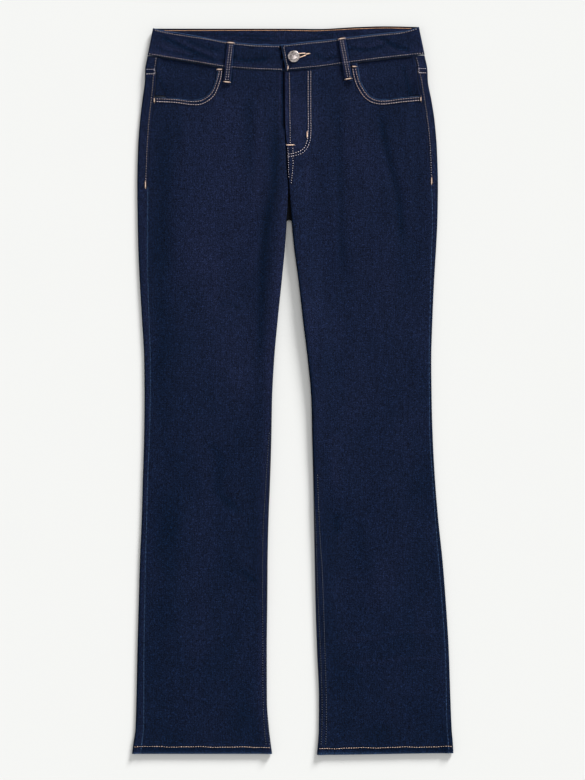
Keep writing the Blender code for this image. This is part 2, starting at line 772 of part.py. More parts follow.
def front_loop(number, spot, collection):
    """A belt loop over the front of the waistband, tacked at the band's top and on the panel below."""
    half = "right" if spot.top_x < 0.0 else "left"

    def surface(x, y):
        low = read(FRONT_BAND, "low", x)
        panel = front_face(half, x, min(y, low))
        if half == "left":
            panel += lap_rise(x, y)
        return mix(BAND_FRONT, panel, soft((low + 1.0 - y) / 12.0))

    rows = [0.0, 0.12, 0.25, 0.4, 0.55, 0.7, 0.8, 0.9, 1.0]
    sides = [-LOOP_WIDTH / 2.0, 0.0, LOOP_WIDTH / 2.0]

    def point(side, row):
        x = mix(spot.top_x, spot.foot_x, row) + side
        y = mix(spot.top_y, spot.foot_y, row)
        bow = LOOP_BOW * math.sin(math.pi * row)
        return x, y, surface(x, y) + 0.5 + bow + LOOP_WALL

    name = "belt_loop_{}".format(number)
    cloth(name, sides, rows, point, lambda y: LOOP_WALL, True, DENIM, collection)


def back_loop(number, offset, collection):
    """A belt loop under the back of the waistband, flat on the surface."""
    centre = CENTRE_BACK + offset
    half_width = LOOP_WIDTH / 2.0
    outline = [
        (centre - half_width, BACK_LOOP_FOOT),
        (centre + half_width, BACK_LOOP_FOOT),
        (centre + half_width, BACK_LOOP_TOP),
        (centre - half_width, BACK_LOOP_TOP),
    ]
    flat_outline("belt_loop_{}".format(number), outline, 0.0, LOOP_WALL, DENIM, collection)


def fly_zip(collection):
    """The closed zip behind the fly, a plain strip beside the right front's edge."""
    x0, x1 = ZIP_EDGES
    y0, y1 = ZIP_ENDS

    def point(across, row):
        x = mix(x0, x1, across)
        y = mix(y0, y1, row)
        return x, y, front_height(x, y)

    places = [0.0, 0.33, 0.67, 1.0]
    rows = [t / 7.0 for t in range(8)]
    cloth("fly_zip", places, rows, point, lambda y: WALL, True, ZIP_TAPE, collection)


def waist_button(collection):
    """A domed button with a rim, on a shank that goes through the buttonhole to the band's right end."""
    low = BAND_FRONT + SEAM_GAP
    seat = BAND_FRONT + LAYER_GAP + BAND_WALL + SEAM_GAP
    profile = [
        (0.0, seat + 2.6),
        (3.0, seat + 2.5),
        (5.6, seat + 2.0),
        (6.6, seat + 1.7),
        (7.2, seat + 1.9),
        (8.0, seat + 1.7),
        (BUTTON_RADIUS, seat + 1.0),
        (8.0, seat + 0.3),
        (6.0, seat),
        (SHANK_RADIUS, seat),
        (SHANK_RADIUS, low),
        (0.0, low),
    ]
    mesh = bpy.data.meshes.new("waist_button")
    edges = [(i, i + 1) for i in range(len(profile) - 1)]
    mesh.from_pydata([(r * MM, 0.0, z * MM) for r, z in profile], edges, [])
    button = new_object("waist_button", mesh, BUTTON_METAL, collection)
    screw = button.modifiers.new("Turn", "SCREW")
    screw.steps = 24
    screw.render_steps = 24
    screw.use_merge_vertices = True
    screw.merge_threshold = 0.00001
    button.location = (BUTTON_CENTRE[0] * MM, BUTTON_CENTRE[1] * MM, 0.0)
    return button


def build():
    for obj in list(bpy.data.objects):
        bpy.data.objects.remove(obj)
    jeans = bpy.data.collections.new("bootcut_jeans")
    cutters = bpy.data.collections.new("cutters")
    bpy.context.scene.collection.children.link(jeans)
    bpy.context.scene.collection.children.link(cutters)
    for half in ("right", "left"):
        scoop(half, front_panel(half, jeans), cutters)
        back_panel(half, jeans)
        yoke(half, jeans)
        pocket_facing(half, jeans)
        back_pocket(half, jeans)
    waistband(jeans, cutters)
    for number, spot in enumerate(FRONT_LOOPS, 1):
        front_loop(number, spot, jeans)
    for number, offset in enumerate(BACK_LOOP_OFFSETS, len(FRONT_LOOPS) + 1):
        back_loop(number, offset, jeans)
    fly_zip(jeans)
    waist_button(jeans)


build()
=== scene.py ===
"""Bootcut jeans laid flat on a pale surface, front up: denim shells, seams, stitches, tacks and button.

Frame: metres, +Z up from the surface, +Y towards the waist, +X towards the wearer's left.
The tables and the heights are in millimetres, and MM turns them into metres.
"""
import math
import random
from collections import namedtuple
from functools import partial

import bmesh
import bpy
import numpy as np
from mathutils import Matrix, Vector


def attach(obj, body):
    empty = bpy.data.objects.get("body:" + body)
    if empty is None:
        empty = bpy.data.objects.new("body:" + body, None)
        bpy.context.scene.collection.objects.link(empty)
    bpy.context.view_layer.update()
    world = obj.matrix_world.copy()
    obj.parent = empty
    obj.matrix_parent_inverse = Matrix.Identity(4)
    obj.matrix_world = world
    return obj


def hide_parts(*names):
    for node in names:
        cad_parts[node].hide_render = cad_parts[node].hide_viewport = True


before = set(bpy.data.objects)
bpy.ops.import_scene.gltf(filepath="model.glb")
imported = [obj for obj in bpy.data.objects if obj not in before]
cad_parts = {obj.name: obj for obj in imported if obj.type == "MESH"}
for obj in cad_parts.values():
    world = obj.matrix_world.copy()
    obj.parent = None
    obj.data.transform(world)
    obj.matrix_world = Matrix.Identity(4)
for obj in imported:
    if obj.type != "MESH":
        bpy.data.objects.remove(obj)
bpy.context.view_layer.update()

MM = 0.001


def named_rows(fields, *rows):
    """Rows whose values have names."""
    kind = namedtuple("Row", fields)
    return [kind(*row) for row in rows]


# Cloth thickness
WALL = 1.2  # one layer of denim
HEM_WALL = 1.9  # the turned-up hem
HEM_DEPTH = 13.0
BAND_WALL = 2.2  # the waistband, two layers and its stiffener
LOOP_WALL = 1.9  # a belt loop, three layers
SEAM_GAP = 0.3
CENTRE_GAP = 0.04  # between the two backs, so that no light shows through
WAIST_SEAM_GAP = 0.9
LAYER_GAP = 0.6  # between one layer and the next that laps it
UNDER_ROOM = 0.5  # room for the stitches under the back, so that they lie on the surface

# Shape of a folded edge
FOLD_RADIUS = 2.2
HEM_FOLD_RADIUS = 2.9
BAND_FOLD_RADIUS = 3.0
SWELL = 13.0  # how far in from a fold the cloth reaches its own height

# Heights off the surface
WAIST_LIFT = 2.3  # of the back, on its belt loops
WAIST_LIFT_FROM = 400.0
WAIST_LIFT_OVER = 55.0
POCKET_LIFT = 1.55  # of the back, on its pockets
POCKET_ROOM = 13.0  # how far round a pocket the lift stays, and over what length it runs out
POCKET_LIFT_OVER = 20.0
FRONT_DRAPE = 0.22
BAND_GAP = 1.6
BAND_FRONT = WAIST_LIFT + 2.0 * BAND_WALL + BAND_GAP

# Places along the garment
RISE_END = 300.0
CROTCH = 246.0
CENTRE_BACK = -5.6
HEM_LINE = -527.0
HEM_ROWS = -500.0  # below it the rows of a mesh lie closer
HEM_WORN = -523.5
YOKE_SIDES = {"right": 461.7, "left": 463.2}
YOKE_DIP = 421.0
SIDE_SEAM_TOP = 300.0
LAP_FROM = 268.0  # the left front starts to lie on the right one
LAP_OVER = 30.0
LAP_SLOPE = 13.0

# Lay-out of the meshes
BACK_EASE = 1.0
INSEAM_PATH = 0.9
FRONT_TOP = 475.0
BACK_TOP = 440.0
FRONT_SLANT = 170.0
BACK_SLANT = 130.0
BAND_LAP = 19.0
BAND_TURN = 12.0
EDGE_MARGIN = 14.0
SEAM_MARGIN = 9.0
UNDER_MARGIN = 12.0

# outer and inner are x of a leg's edges; outseam and inseam lie that far in from them, on the front face
RIGHT_LEG = named_rows(
    "y outer inner outseam inseam",
    (-527, -233.4, -29.9, 12.0, 0.0), (-510, -231.1, -32.2, 11.6, 0.0), (-492, -228.5, -34.4, 11.2, 0.0),
    (-449, -227.1, -37.4, 10.3, 0.0), (-376, -225.6, -37.6, 9.0, 0.0), (-304, -223.6, -36.8, 8.4, 0.0),
    (-246, -222.0, -36.4, 7.6, 0.0), (-188, -219.4, -35.1, 6.8, 0.0), (-130, -217.8, -32.8, 6.6, 0.0),
    (-72, -216.0, -31.0, 7.2, 0.0), (-14, -215.3, -30.0, 7.8, 0.0), (44, -215.8, -27.0, 8.4, 0.0),
    (102, -218.9, -21.8, 9.8, 0.0), (160, -222.3, -15.8, 11.5, 0.0), (212, -224.5, -10.9, 13.0, 0.0),
    (246, -225.2, -8.6, 14.0, 0.0), (298, -225.8, -6.3, 15.0, 0.0), (349, -224.8, -5.6, 16.2, 0.0),
    (392, -221.9, -5.6, 16.4, 0.0), (421, -218.4, -5.6, 16.4, 0.0), (450, -214.6, -5.6, 16.0, 0.0),
    (465, -214.2, -5.6, 15.5, 0.0), (487, -210.3, -5.6, 14.0, 0.0),
)
LEFT_LEG = named_rows(
    "y outer inner outseam inseam",
    (-527, 233.2, 34.9, 6.0, 2.5), (-510, 232.3, 36.6, 6.0, 3.0), (-492, 230.8, 37.7, 6.0, 3.2),
    (-449, 229.0, 38.0, 5.4, 3.5), (-376, 226.5, 35.2, 4.6, 3.8), (-304, 222.0, 32.9, 5.0, 2.4),
    (-246, 217.4, 31.8, 5.0, 1.6), (-188, 211.3, 30.7, 3.6, 0.8), (-130, 206.6, 29.7, 2.8, 0.3),
    (-72, 203.4, 28.1, 3.6, 0.0), (-14, 201.7, 26.8, 2.8, 0.0), (44, 201.1, 21.6, 2.6, 0.0),
    (102, 202.7, 14.6, 3.0, 0.0), (160, 205.3, 8.0, 4.4, 0.0), (212, 208.4, 1.2, 6.0, 0.0),
    (246, 210.0, -1.9, 6.4, 0.0), (298, 210.8, -5.4, 8.8, 0.0), (349, 209.4, -5.6, 12.8, 0.0),
    (392, 205.9, -5.6, 13.0, 0.0), (421, 201.4, -5.6, 13.2, 0.0), (450, 196.0, -5.6, 14.2, 0.0),
    (465, 195.4, -5.6, 14.5, 0.0), (487, 191.0, -5.6, 14.5, 0.0),
)
LEGS = {"right": RIGHT_LEG, "left": LEFT_LEG}
OUTWARD = {"right": -1.0, "left": 1.0}

FRONT_EDGES = named_rows(
    "y right left",
    (246, -8.6, -1.9), (258, -7.6, -3.0), (276, -6.9, -3.9), (302, -6.4, -5.3), (314, -3.4, -6.6),
    (339, -3.2, -8.1), (359, -3.4, -9.0), (392, -3.8, -11.5), (462, -4.1, -12.3), (487, -4.1, -13.0),
)

FRONT_BAND = named_rows(
    "x top low",
    (-211, 525.4, 486.5), (-203, 525.3, 485.4), (-190, 521.8, 483.3), (-170, 519.3, 480.1),
    (-139, 513.9, 475.2), (-100, 506.8, 468.6), (-58, 502.3, 465.0), (-15, 501.0, 463.4),
    (10, 504.0, 465.0), (35, 506.9, 467.9), (70, 510.7, 472.8), (105, 515.2, 477.5), (140, 518.9, 481.7),
    (165, 521.6, 484.3), (176, 524.4, 485.7), (183, 527.2, 486.6), (192, 527.2, 487.3),
)
BACK_BAND = named_rows(
    "x top low",
    (-211, 525.4, 486.5), (-100, 525.3, 489.0), (-5, 525.3, 490.0), (36, 524.9, 490.0), (93, 527.7, 489.5),
    (134, 528.8, 489.0), (183, 527.7, 487.6), (192, 527.2, 487.3),
)
# soft folds of the waistband: how deep, how wide, and their path
BAND_CREASES = named_rows(
    "depth width path",
    (0.5, 3.5, ((-186, 511), (-150, 494), (-113, 477))),
    (0.4, 3.0, ((-196, 497), (-172, 489), (-140, 482))),
    (0.35, 3.0, ((-150, 506), (-128, 498), (-108, 494))), (0.35, 3.0, ((-84, 482), (-66, 478), (-40, 480))),
    (0.4, 3.5, ((84, 496), (108, 494), (132, 500))), (0.45, 4.0, ((128, 512), (146, 500), (166, 494))),
    (0.35, 3.0, ((34, 486), (50, 480), (62, 484))),
)
# lighter lines beside them, partly painted light on ridges and partly wear, and painted shade of folds on its
# inside, which the mesh doesn't have; each a path
BAND_RIDGES = [
    ((-180, 514), (-146, 499), (-110, 484)),
    ((-198, 503), (-176, 494), (-150, 488)),
    ((90, 502), (112, 499), (134, 506)),
    ((122, 508), (144, 495), (160, 489)),
]
BAND_INSIDE_PAINTED_SHADE = [
    ((-150, 518), (-104, 517), (-62, 515), (-24, 514)),
    ((-74, 510), (-36, 508), (8, 508), (44, 510)),
    ((36, 517), (66, 517), (96, 519)),
]
# x of the waistband's sides and of its two ends, at its top edge and at its lower one
BAND_SIDES = named_rows("drop right left", (0, -202.9, 183.1), (1, -210.6, 191.4))
BAND_ENDS = named_rows("drop right left", (0, 15.0, -17.2), (1, 15.0, -9.6))

LIFTS = named_rows(
    "y right left",
    (-527, 0.0, 0.0), (-430, 0.2, 0.2), (-330, 0.6, 0.6), (-240, 1.0, 1.2), (-150, 1.6, 2.2),
    (-60, 2.4, 3.8), (40, 3.8, 6.2), (120, 5.0, 7.5), (200, 5.8, 6.8), (246, 6.0, 6.0), (300, 4.0, 4.0),
    (350, 1.6, 1.6), (400, 0.0, 0.0),
)
LIFT_WIDTH = 48.0

GAPS = named_rows(
    "y gap",
    (-527, 2.0), (-480, 2.1), (-100, 2.3), (150, 2.4), (300, 2.7), (390, 3.0), (487, 3.0),
)

# soft ridges (+) and troughs (-) of the front, each along a path of x, y from its top end to its bottom end
FOLDS = named_rows(
    "height width path",
    (-1.1, 8.0, ((-24, 430), (-27, 295), (-36, 255), (-43, 200), (-48, 60), (-56, -10))),
    (0.7, 10.0, ((-48, 430), (-46, 350), (-50, 290))), (-0.6, 12.0, ((-66, 420), (-62, 340), (-56, 300))),
    (0.5, 9.0, ((-163, 410), (-161, 330), (-165, 250))),
    (-1.0, 8.0, ((64, 440), (69, 350), (70, 230), (76, 150), (78, 110))),
    (-1.3, 8.0, ((124, 420), (129, 375), (141, 325), (154, 280), (157, 235), (158, 190))),
    (0.6, 12.0, ((100, 400), (104, 300), (112, 200))), (0.5, 7.0, ((20, 350), (20, 300), (17, 262))),
    (0.6, 14.0, ((-98, 40), (-70, -5), (-54, -30))), (-0.6, 12.0, ((-112, -70), (-108, -140), (-66, -185))),
)
# finer creases that only the shells show
CREASES = named_rows(
    "height width path",
    (0.35, 7.0, ((-49, 429), (-49, 380), (-49, 327))), (-0.35, 5.0, ((-34, 452), (-44, 415), (-50, 385))),
    (-0.3, 5.0, ((150, 405), (158, 350), (170, 300))), (0.3, 6.0, ((-190, 395), (-188, 340), (-186, 280))),
    (-0.3, 6.0, ((96, -210), (100, -280), (92, -340))), (0.3, 7.0, ((150, -120), (154, -200), (162, -300))),
    (-0.3, 7.0, ((-160, -230), (-150, -310), (-158, -380))),
    (0.3, 7.0, ((-104, -250), (-110, -340), (-100, -430))),
)
# creases that show as light or dark too, with painted shade in their troughs and lighter ridges, partly
# painted light and partly fading: tone, and its width, called shade
SEEN_CREASES = named_rows(
    "height width tone shade path",
    (-0.35, 3.0, -0.7, 3.0, ((51, 453), (40, 450), (29, 446))),
    (-0.3, 3.5, -0.4, 4.0, ((-165, 421), (-165, 380), (-165, 334))),
    (-0.3, 4.0, -0.8, 4.0, ((-94, 131), (-100, 128), (-104, 122))),
    (-0.3, 4.0, -0.8, 4.0, ((-94, 131), (-86, 124), (-77, 116))),
    (0.25, 3.0, 0.6, 3.0, ((-113, 194), (-113, 150), (-113, 102))),
    (0.3, 4.0, 0.7, 5.0, ((-50, 219), (-60, 185), (-69, 153))),
    (-0.4, 7.0, -1.0, 7.0, ((-76, -258), (-66, -268), (-54, -280))),
    (0.4, 8.0, 0.8, 8.0, ((61, -57), (61, -100), (62, -144))),
    (-0.4, 6.0, -0.8, 6.0, ((63, -175), (64, -195), (66, -212))),
)
# creases that lie across a leg, from their left end to their right end: the height of each at x. Their
# lighter ridges are partly painted light and partly fading
CROSS_CREASES = named_rows(
    "height width tone shade path",
    (0.3, 2.5, 0.7, 2.6, ((61, -362), (126, -359), (158, -349), (221, -350))),
    (0.3, 2.5, 0.7, 2.6, ((61, -396), (126, -395), (158, -389), (221, -389))),
)
# creases of the back, drawn in the same way
BACK_FOLDS = named_rows(
    "height width path",
    (0.9, 9.0, ((-60, 262), (-72, 225), (-96, 190))), (0.8, 8.0, ((46, 262), (62, 222), (90, 186))),
    (0.6, 7.0, ((-50, 236), (-58, 200), (-74, 165))), (0.6, 7.0, ((38, 236), (48, 198), (66, 160))),
    (0.5, 10.0, ((-120, 60), (-100, 10), (-84, -40))), (0.5, 10.0, ((112, 70), (96, 20), (88, -30))),
    (0.4, 9.0, ((-150, -60), (-142, -140), (-150, -220))),
    (0.4, 9.0, ((140, -40), (146, -120), (138, -210))),
)

# Light and dark streaks, most of them along the folds: painted shade in the troughs, and lighter ridges,
# partly painted light and partly fading. Tone 1 is about a quarter lighter
STREAKS = named_rows(
    "tone shade path",
    (-1.5, 7.0, ((-24, 426), (-27, 295), (-36, 259), (-42, 211), (-48, 59), (-55, 1))),
    (0.9, 9.0, ((-49, 429), (-49, 327), (-52, 250))), (-0.7, 8.0, ((-64, 436), (-64, 327), (-62, 300))),
    (-1.0, 6.5, ((64, 433), (68, 349), (70, 226), (76, 153))),
    (-1.3, 5.5, ((125, 414), (131, 374), (142, 327), (153, 284), (157, 240), (158, 197))),
    (0.6, 5.0, ((20, 363), (20, 300), (20, 262))), (0.9, 3.0, ((4, 440), (4, 390), (4, 362))),
    (-0.9, 9.0, ((-127, -60), (-106, -96), (-110, -147), (-62, -190))),
)
PATCHES = named_rows(
    "tone x y wide long",
    (0.9, -113, 270, 40, 180), (0.9, -82, 20, 26, 60), (-1.5, -190, 150, 20, 190),
    (-0.6, -180, 350, 16, 60), (-0.7, -180, -240, 18, 130), (0.5, -128, -230, 22, 150),
    (-0.5, -140, 10, 26, 60), (0.7, 36, 390, 14, 45), (0.4, 100, 320, 22, 110), (-0.5, 180, 250, 14, 120),
    (0.3, 120, -20, 40, 160), (0.4, 130, -260, 35, 60), (-0.5, 98, -250, 20, 60),
)
# the darker spot near the band's left side is painted shade of a shallow trough
BAND_PATCHES = named_rows(
    "tone x y wide long",
    (-0.6, 160.0, 510.0, 22.0, 22.0 / 1.8), (1.0, -188.0, 489.0, 28.8, 12.0),
)
BACK_PATCHES = named_rows(  # on both sides of the centre back
    "tone x y wide long",
    (0.8, 92.0, 330.0, 45.0, 110.0), (0.6, 110.0, 60.0, 36.0, 150.0),
)
# darker towards the hem
TONE_TOWARDS_HEM = named_rows(
    "y tone",
    (-527, -1.0), (-400, -0.9), (-150, -0.7), (0, -0.4), (120, 0.0), (487, 0.0),
)

# edge of each front pocket's opening, from the wearer's right to left
SCOOPS = {
    "right": named_rows(
        "x y",
        (-204.0, 425.0), (-171.4, 424.0), (-146.9, 421.4), (-130.9, 424.3), (-118.6, 434.4),
        (-110.6, 453.3), (-107.5, 474.0),
    ),
    "left": named_rows(
        "x y",
        (92.4, 476.0), (97.9, 450.4), (105.0, 436.2), (113.8, 426.3), (129.1, 421.7), (157.6, 424.9),
        (190.0, 427.4),
    ),
}
FACING_REACH = 20.0
FACING_ENDS = {"right": -107.5, "left": 92.4}
FACING_TONES = {  # its own tone, and the painted shade of a crease in it: tone, width and path
    "right": (-0.2, -0.8, 3.0, ((-196, 456), (-189, 444), (-182, 433))),
    "left": (0.35, -1.6, 3.2, ((161, 468), (166, 448), (171, 429))),
}

BACK_POCKET_CENTRE = 92.0
BACK_POCKET_TOP = 64.0
BACK_POCKET_FOOT = 56.0
BACK_POCKET_HEIGHTS = (402.0, 412.0, 290.0, 270.0)  # inner top, outer top, lower corners, point

LOOP_WIDTH = 11.0
FRONT_LOOPS = named_rows(
    "top_x top_y foot_x foot_y",
    (-89.4, 506.5, -95.6, 443.5), (70.6, 512.5, 81.2, 448.0),
)
BACK_LOOP_OFFSETS = (-118.0, 0.0, 118.0)
BACK_LOOP_TOP = 523.5
BACK_LOOP_FOOT = 465.0
LOOP_BOW = 1.0

FLY_WIDTH = 25.0
FLY_FOOT = 345.0
FLY_POINT = 322.0
ZIP_EDGES = (-2.4, 16.0)
ZIP_ENDS = (352.0, 458.0)

BUTTON_CENTRE = (1.45, 483.7)
SHANK_RADIUS = 2.6
BUTTONHOLE_END = (18.6, 487.0)
KEYHOLE_TACK = (21.4, 487.5)
BUTTONHOLE_WIDTH = 6.2
BUTTONHOLE_SLIT = 0.8

SEED = 11


# Reading the tables

def mix(a, b, t):
    return a + (b - a) * t


def soft(t):
    """0 up to 0, 1 from 1 on, and a soft S between."""
    t = np.clip(t, 0.0, 1.0)
    return t * t * (3.0 - 2.0 * t)


def hump(distance, width):
    return np.exp(-((distance / width) ** 2))


def read(table, column, at):
    """A column of a table, on a smooth curve through its rows that never overshoots them."""
    places = np.array([row[0] for row in table], float)
    values = np.array([getattr(row, column) for row in table], float)
    spans = np.diff(places)
    slopes = np.diff(values) / spans
    before, after = slopes[:-1], slopes[1:]
    level = before * after <= 0.0
    inner = np.where(level, 0.0, 2.0 * before * after / np.where(level, 1.0, before + after))
    tangents = np.concatenate((slopes[:1], inner, slopes[-1:]))
    at = np.clip(at, places[0], places[-1])
    i = np.clip(np.searchsorted(places, at, side="right") - 1, 0, len(spans) - 1)
    t = (at - places[i]) / spans[i]
    start = values[i] * (1 + 2 * t) * (1 - t) ** 2 + tangents[i] * spans[i] * t * (1 - t) ** 2
    end = values[i + 1] * t * t * (3 - 2 * t) + tangents[i + 1] * spans[i] * t * t * (t - 1)
    return start + end


def spaced(count, centre, width, gain):
    """Places from 0 to 1, closer together round a centre."""
    t = np.linspace(0.0, 1.0, 801)
    density = 1.0 + gain * hump(t - centre, width)
    total = np.concatenate(([0.0], np.cumsum(density[1:] + density[:-1])))
    return np.interp(np.linspace(0.0, 1.0, count), total / total[-1], t)


def curve_through(points, step=1.0):
    """A smooth curve through points, as a dense list of points about a step apart."""
    pts = np.array(points, float)
    if len(pts) == 2:
        count = max(int(np.linalg.norm(pts[1] - pts[0]) / step), 1)
        return pts[0] + np.linspace(0.0, 1.0, count + 1)[:, None] * (pts[1] - pts[0])
    ends = np.vstack((2 * pts[0] - pts[1], pts, 2 * pts[-1] - pts[-2]))
    out = [pts[:1]]
    for a, b, c, d in zip(ends, ends[1:], ends[2:], ends[3:]):
        count = max(int(np.linalg.norm(c - b) / step), 1)
        t = np.linspace(0.0, 1.0, count + 1)[1:, None]
        straight = 2 * b + (c - a) * t
        bent = (2 * a - 5 * b + 4 * c - d) * t ** 2 + (3 * b - a - 3 * c + d) * t ** 3
        out.append((straight + bent) / 2.0)
    return np.vstack(out)


def distance_to(points, x, y):
    """Distance in the plane from places to the nearest point of a dense list."""
    nearest = np.full(np.shape(x), 1e9)
    for px, py in points:
        nearest = np.minimum(nearest, (x - px) ** 2 + (y - py) ** 2)
    return np.sqrt(nearest)


# Heights of the two layers' outer faces, as the solids have them, with the finer creases

def path_sum(folds, amount, width, x, y):
    """Sum of ridges and troughs, or of light and dark, along paths that run down the garment."""
    total = np.zeros(np.broadcast(x, y).shape)
    for fold in folds:
        ys = np.array([p[1] for p in fold.path][::-1], float)
        xs = np.array([p[0] for p in fold.path][::-1], float)
        ease = 0.2 * (ys[-1] - ys[0])
        along = soft((ys[-1] - y) / ease) * soft((y - ys[0]) / ease)
        away = x - np.interp(y, ys, xs)
        total = total + getattr(fold, amount) * along * hump(away, getattr(fold, width))
    return total


def cross_sum(folds, amount, width, x, y):
    """The same along paths that run across a leg."""
    total = np.zeros(np.broadcast(x, y).shape)
    for fold in folds:
        xs = np.array([p[0] for p in fold.path], float)
        ys = np.array([p[1] for p in fold.path], float)
        along = soft((x - xs[0]) / 20.0) * soft((xs[-1] - x) / 12.0)
        away = y - np.interp(x, xs, ys)
        total = total + getattr(fold, amount) * along * hump(away, getattr(fold, width))
    return total


def edge_lift(x, y):
    """How far the cloth stands off the surface beside the inseams and the crotch."""
    on_right = x < CENTRE_BACK
    away = np.abs(x - np.where(on_right, read(RIGHT_LEG, "inner", y), read(LEFT_LEG, "inner", y)))
    lift = np.where(on_right, read(LIFTS, "right", y), read(LIFTS, "left", y))
    return lift * (1.0 - soft(away / LIFT_WIDTH))


def back_height(x, y, drape=1.0):
    """The back's outer face: on the surface, but lifted by its belt loops, its pockets and the crotch.

    A drape under 1 lets the pockets' lift run out more slowly below them, as in the front that lies on top.
    """
    waist = WAIST_LIFT * soft((y - WAIST_LIFT_FROM) / WAIST_LIFT_OVER)
    low, high = BACK_POCKET_HEIGHTS[3], BACK_POCKET_HEIGHTS[1]
    beside = np.maximum(np.abs(np.abs(x - CENTRE_BACK) - BACK_POCKET_CENTRE) - BACK_POCKET_TOP, 0.0)
    above = np.maximum(np.maximum(y - high, drape * (low - y)), 0.0)
    pocket = POCKET_LIFT * (1.0 - soft((np.hypot(beside, above) - POCKET_ROOM) / POCKET_LIFT_OVER))
    return np.maximum(waist, pocket) + edge_lift(x, y)


def front_height(x, y):
    """The front's outer face, away from the folded edges."""
    creases = path_sum(FOLDS + CREASES + SEEN_CREASES, "height", "width", x, y)
    creases = creases + cross_sum(CROSS_CREASES, "height", "width", x, y)
    return back_height(x, y, FRONT_DRAPE) + 2.0 * WALL + read(GAPS, "gap", y) + creases


def lap_rise(x, y):
    """How far the left front rises where it lies on the right front and the zip."""
    reach = FLY_WIDTH * soft((y - FLY_POINT) / (FLY_FOOT - FLY_POINT))
    return (WALL + LAYER_GAP) * soft((y - LAP_FROM) / LAP_OVER) * (1.0 - soft((x - reach) / LAP_SLOPE))


def wall_at(y):
    return np.where(y <= HEM_LINE + HEM_DEPTH, HEM_WALL, WALL)


def fold_radius(y):
    return mix(HEM_FOLD_RADIUS, FOLD_RADIUS, soft((y + 516.0) / 40.0))


def outer_x(half, y):
    return read(LEGS[half], "outer", y)


def outer_depth(half, x, y):
    """How far in a place lies from a leg's outer edge."""
    return OUTWARD[half] * (outer_x(half, y) - x)


def outseam_depth(half, x, y):
    return outer_depth(half, x, y) - read(LEGS[half], "outseam", y)


def leg_share(y):
    """1 where front and back meet in a fold at the inseam, 0 above the rise."""
    return soft((RISE_END - y) / (RISE_END - CROTCH))


def front_inner_x(half, y):
    return np.where(y > CROTCH, read(FRONT_EDGES, half, y), read(LEGS[half], "inner", y))


def back_inner_x(half, y):
    centre = CENTRE_BACK + OUTWARD[half] * CENTRE_GAP / 2.0
    return np.where(y > CROTCH, centre, read(LEGS[half], "inner", y))


def inset(path, radius):
    """How far in from a fold's edge a path over the fold has come."""
    quarter = radius * math.pi / 2.0
    turned = radius * (1.0 - np.cos(np.minimum(path, quarter) / radius))
    return np.where(path < quarter, turned, radius + path - quarter)


def path_over(distance, radius):
    """The path over the fold to a place that far in from its edge."""
    turned = radius * np.arccos(1.0 - np.minimum(distance, radius) / radius)
    return np.where(distance < radius, turned, distance - radius + radius * math.pi / 2.0)


def nose(distance, radius):
    """Height of a fold's round edge above or below its middle."""
    return np.sqrt(np.maximum(radius ** 2 - (radius - np.minimum(distance, radius)) ** 2, 0.0))


def from_fold(half, y, path):
    """x of a place that far over the outer fold."""
    return outer_x(half, y) - OUTWARD[half] * inset(path, fold_radius(y))


def seam_path(half, y, column):
    """The path over the fold from a leg's edge to its outseam or inseam."""
    return np.maximum(path_over(read(LEGS[half], column, y), fold_radius(y)), INSEAM_PATH)


def front_face(half, x, y):
    """Height of the front's outer face at a place, from fold to fold."""
    radius = fold_radius(y)
    folded = leg_share(y)
    from_outer = np.maximum(outer_depth(half, x, y), 0.0)
    from_inner = np.maximum(OUTWARD[half] * (x - front_inner_x(half, y)), 0.0)
    base = back_height(x, y) + radius
    side = 1.0 - soft((from_outer - radius) / SWELL)
    height = mix(front_height(x, y), base + radius, side)
    inner = folded * (1.0 - soft((from_inner - radius) / SWELL))
    height = mix(height, base + radius, inner)
    height = np.where(from_inner < radius, mix(height, base + nose(from_inner, radius), folded), height)
    return np.where(from_outer < radius, base + nose(from_outer, radius), height)


def back_face(half, x, y):
    """Height of the back's outer face at a place, from fold to fold."""
    radius = fold_radius(y)
    share = (radius - UNDER_ROOM) / radius
    creased = path_sum(BACK_FOLDS, "height", "width", x, y)
    lift = back_height(x, y) + creased
    folded = soft((CROTCH - y) / BACK_EASE)
    from_outer = np.maximum(outer_depth(half, x, y), 0.0)
    from_inner = np.maximum(OUTWARD[half] * (x - back_inner_x(half, y)), 0.0)
    plain = lift + UNDER_ROOM
    inner = mix(plain, lift + radius - nose(from_inner, radius) * share, folded)
    height = np.where(from_inner < radius, inner, plain)
    return np.where(from_outer < radius, lift + radius - nose(from_outer, radius) * share, height)


# Fine relief of the front: what lies under the cloth, and what its stitches do to it

SCOOP_LINES = {half: curve_through([(p.x, p.y) for p in SCOOPS[half]]) for half in SCOOPS}
J_INNER = (
    (22.3, 463.4), (22.3, 420.0), (22.3, 375.0), (18.8, 355.8), (11.4, 347.4), (1.0, 343.7), (-7.6, 342.4),
)
J_OUTER = (
    (26.0, 463.4), (26.0, 415.0), (26.0, 371.5), (22.4, 354.8), (13.9, 344.2), (1.0, 339.9), (-7.4, 338.7),
)
J_LINE = curve_through(J_OUTER)


def ripple(x, y):
    """A soft unevenness of the cloth, up to about 1 either way."""
    slow = np.sin(x / 9.1 + 1.3 * np.sin(y / 61.0)) * np.sin(y / 47.0 + 1.1 * np.sin(x / 23.0))
    fast = np.sin(x / 4.3 + 1.7 * np.sin(y / 27.0) + 2.0) * np.sin(y / 19.0 + 1.5 * np.sin(x / 11.0))
    return 0.65 * slow + 0.35 * fast


def pucker(x, y):
    """Short ripples, as along a stitched seam."""
    return np.sin((x + y) / 0.95 + 1.6 * np.sin(x / 7.0) + 1.2 * np.sin(y / 5.0))


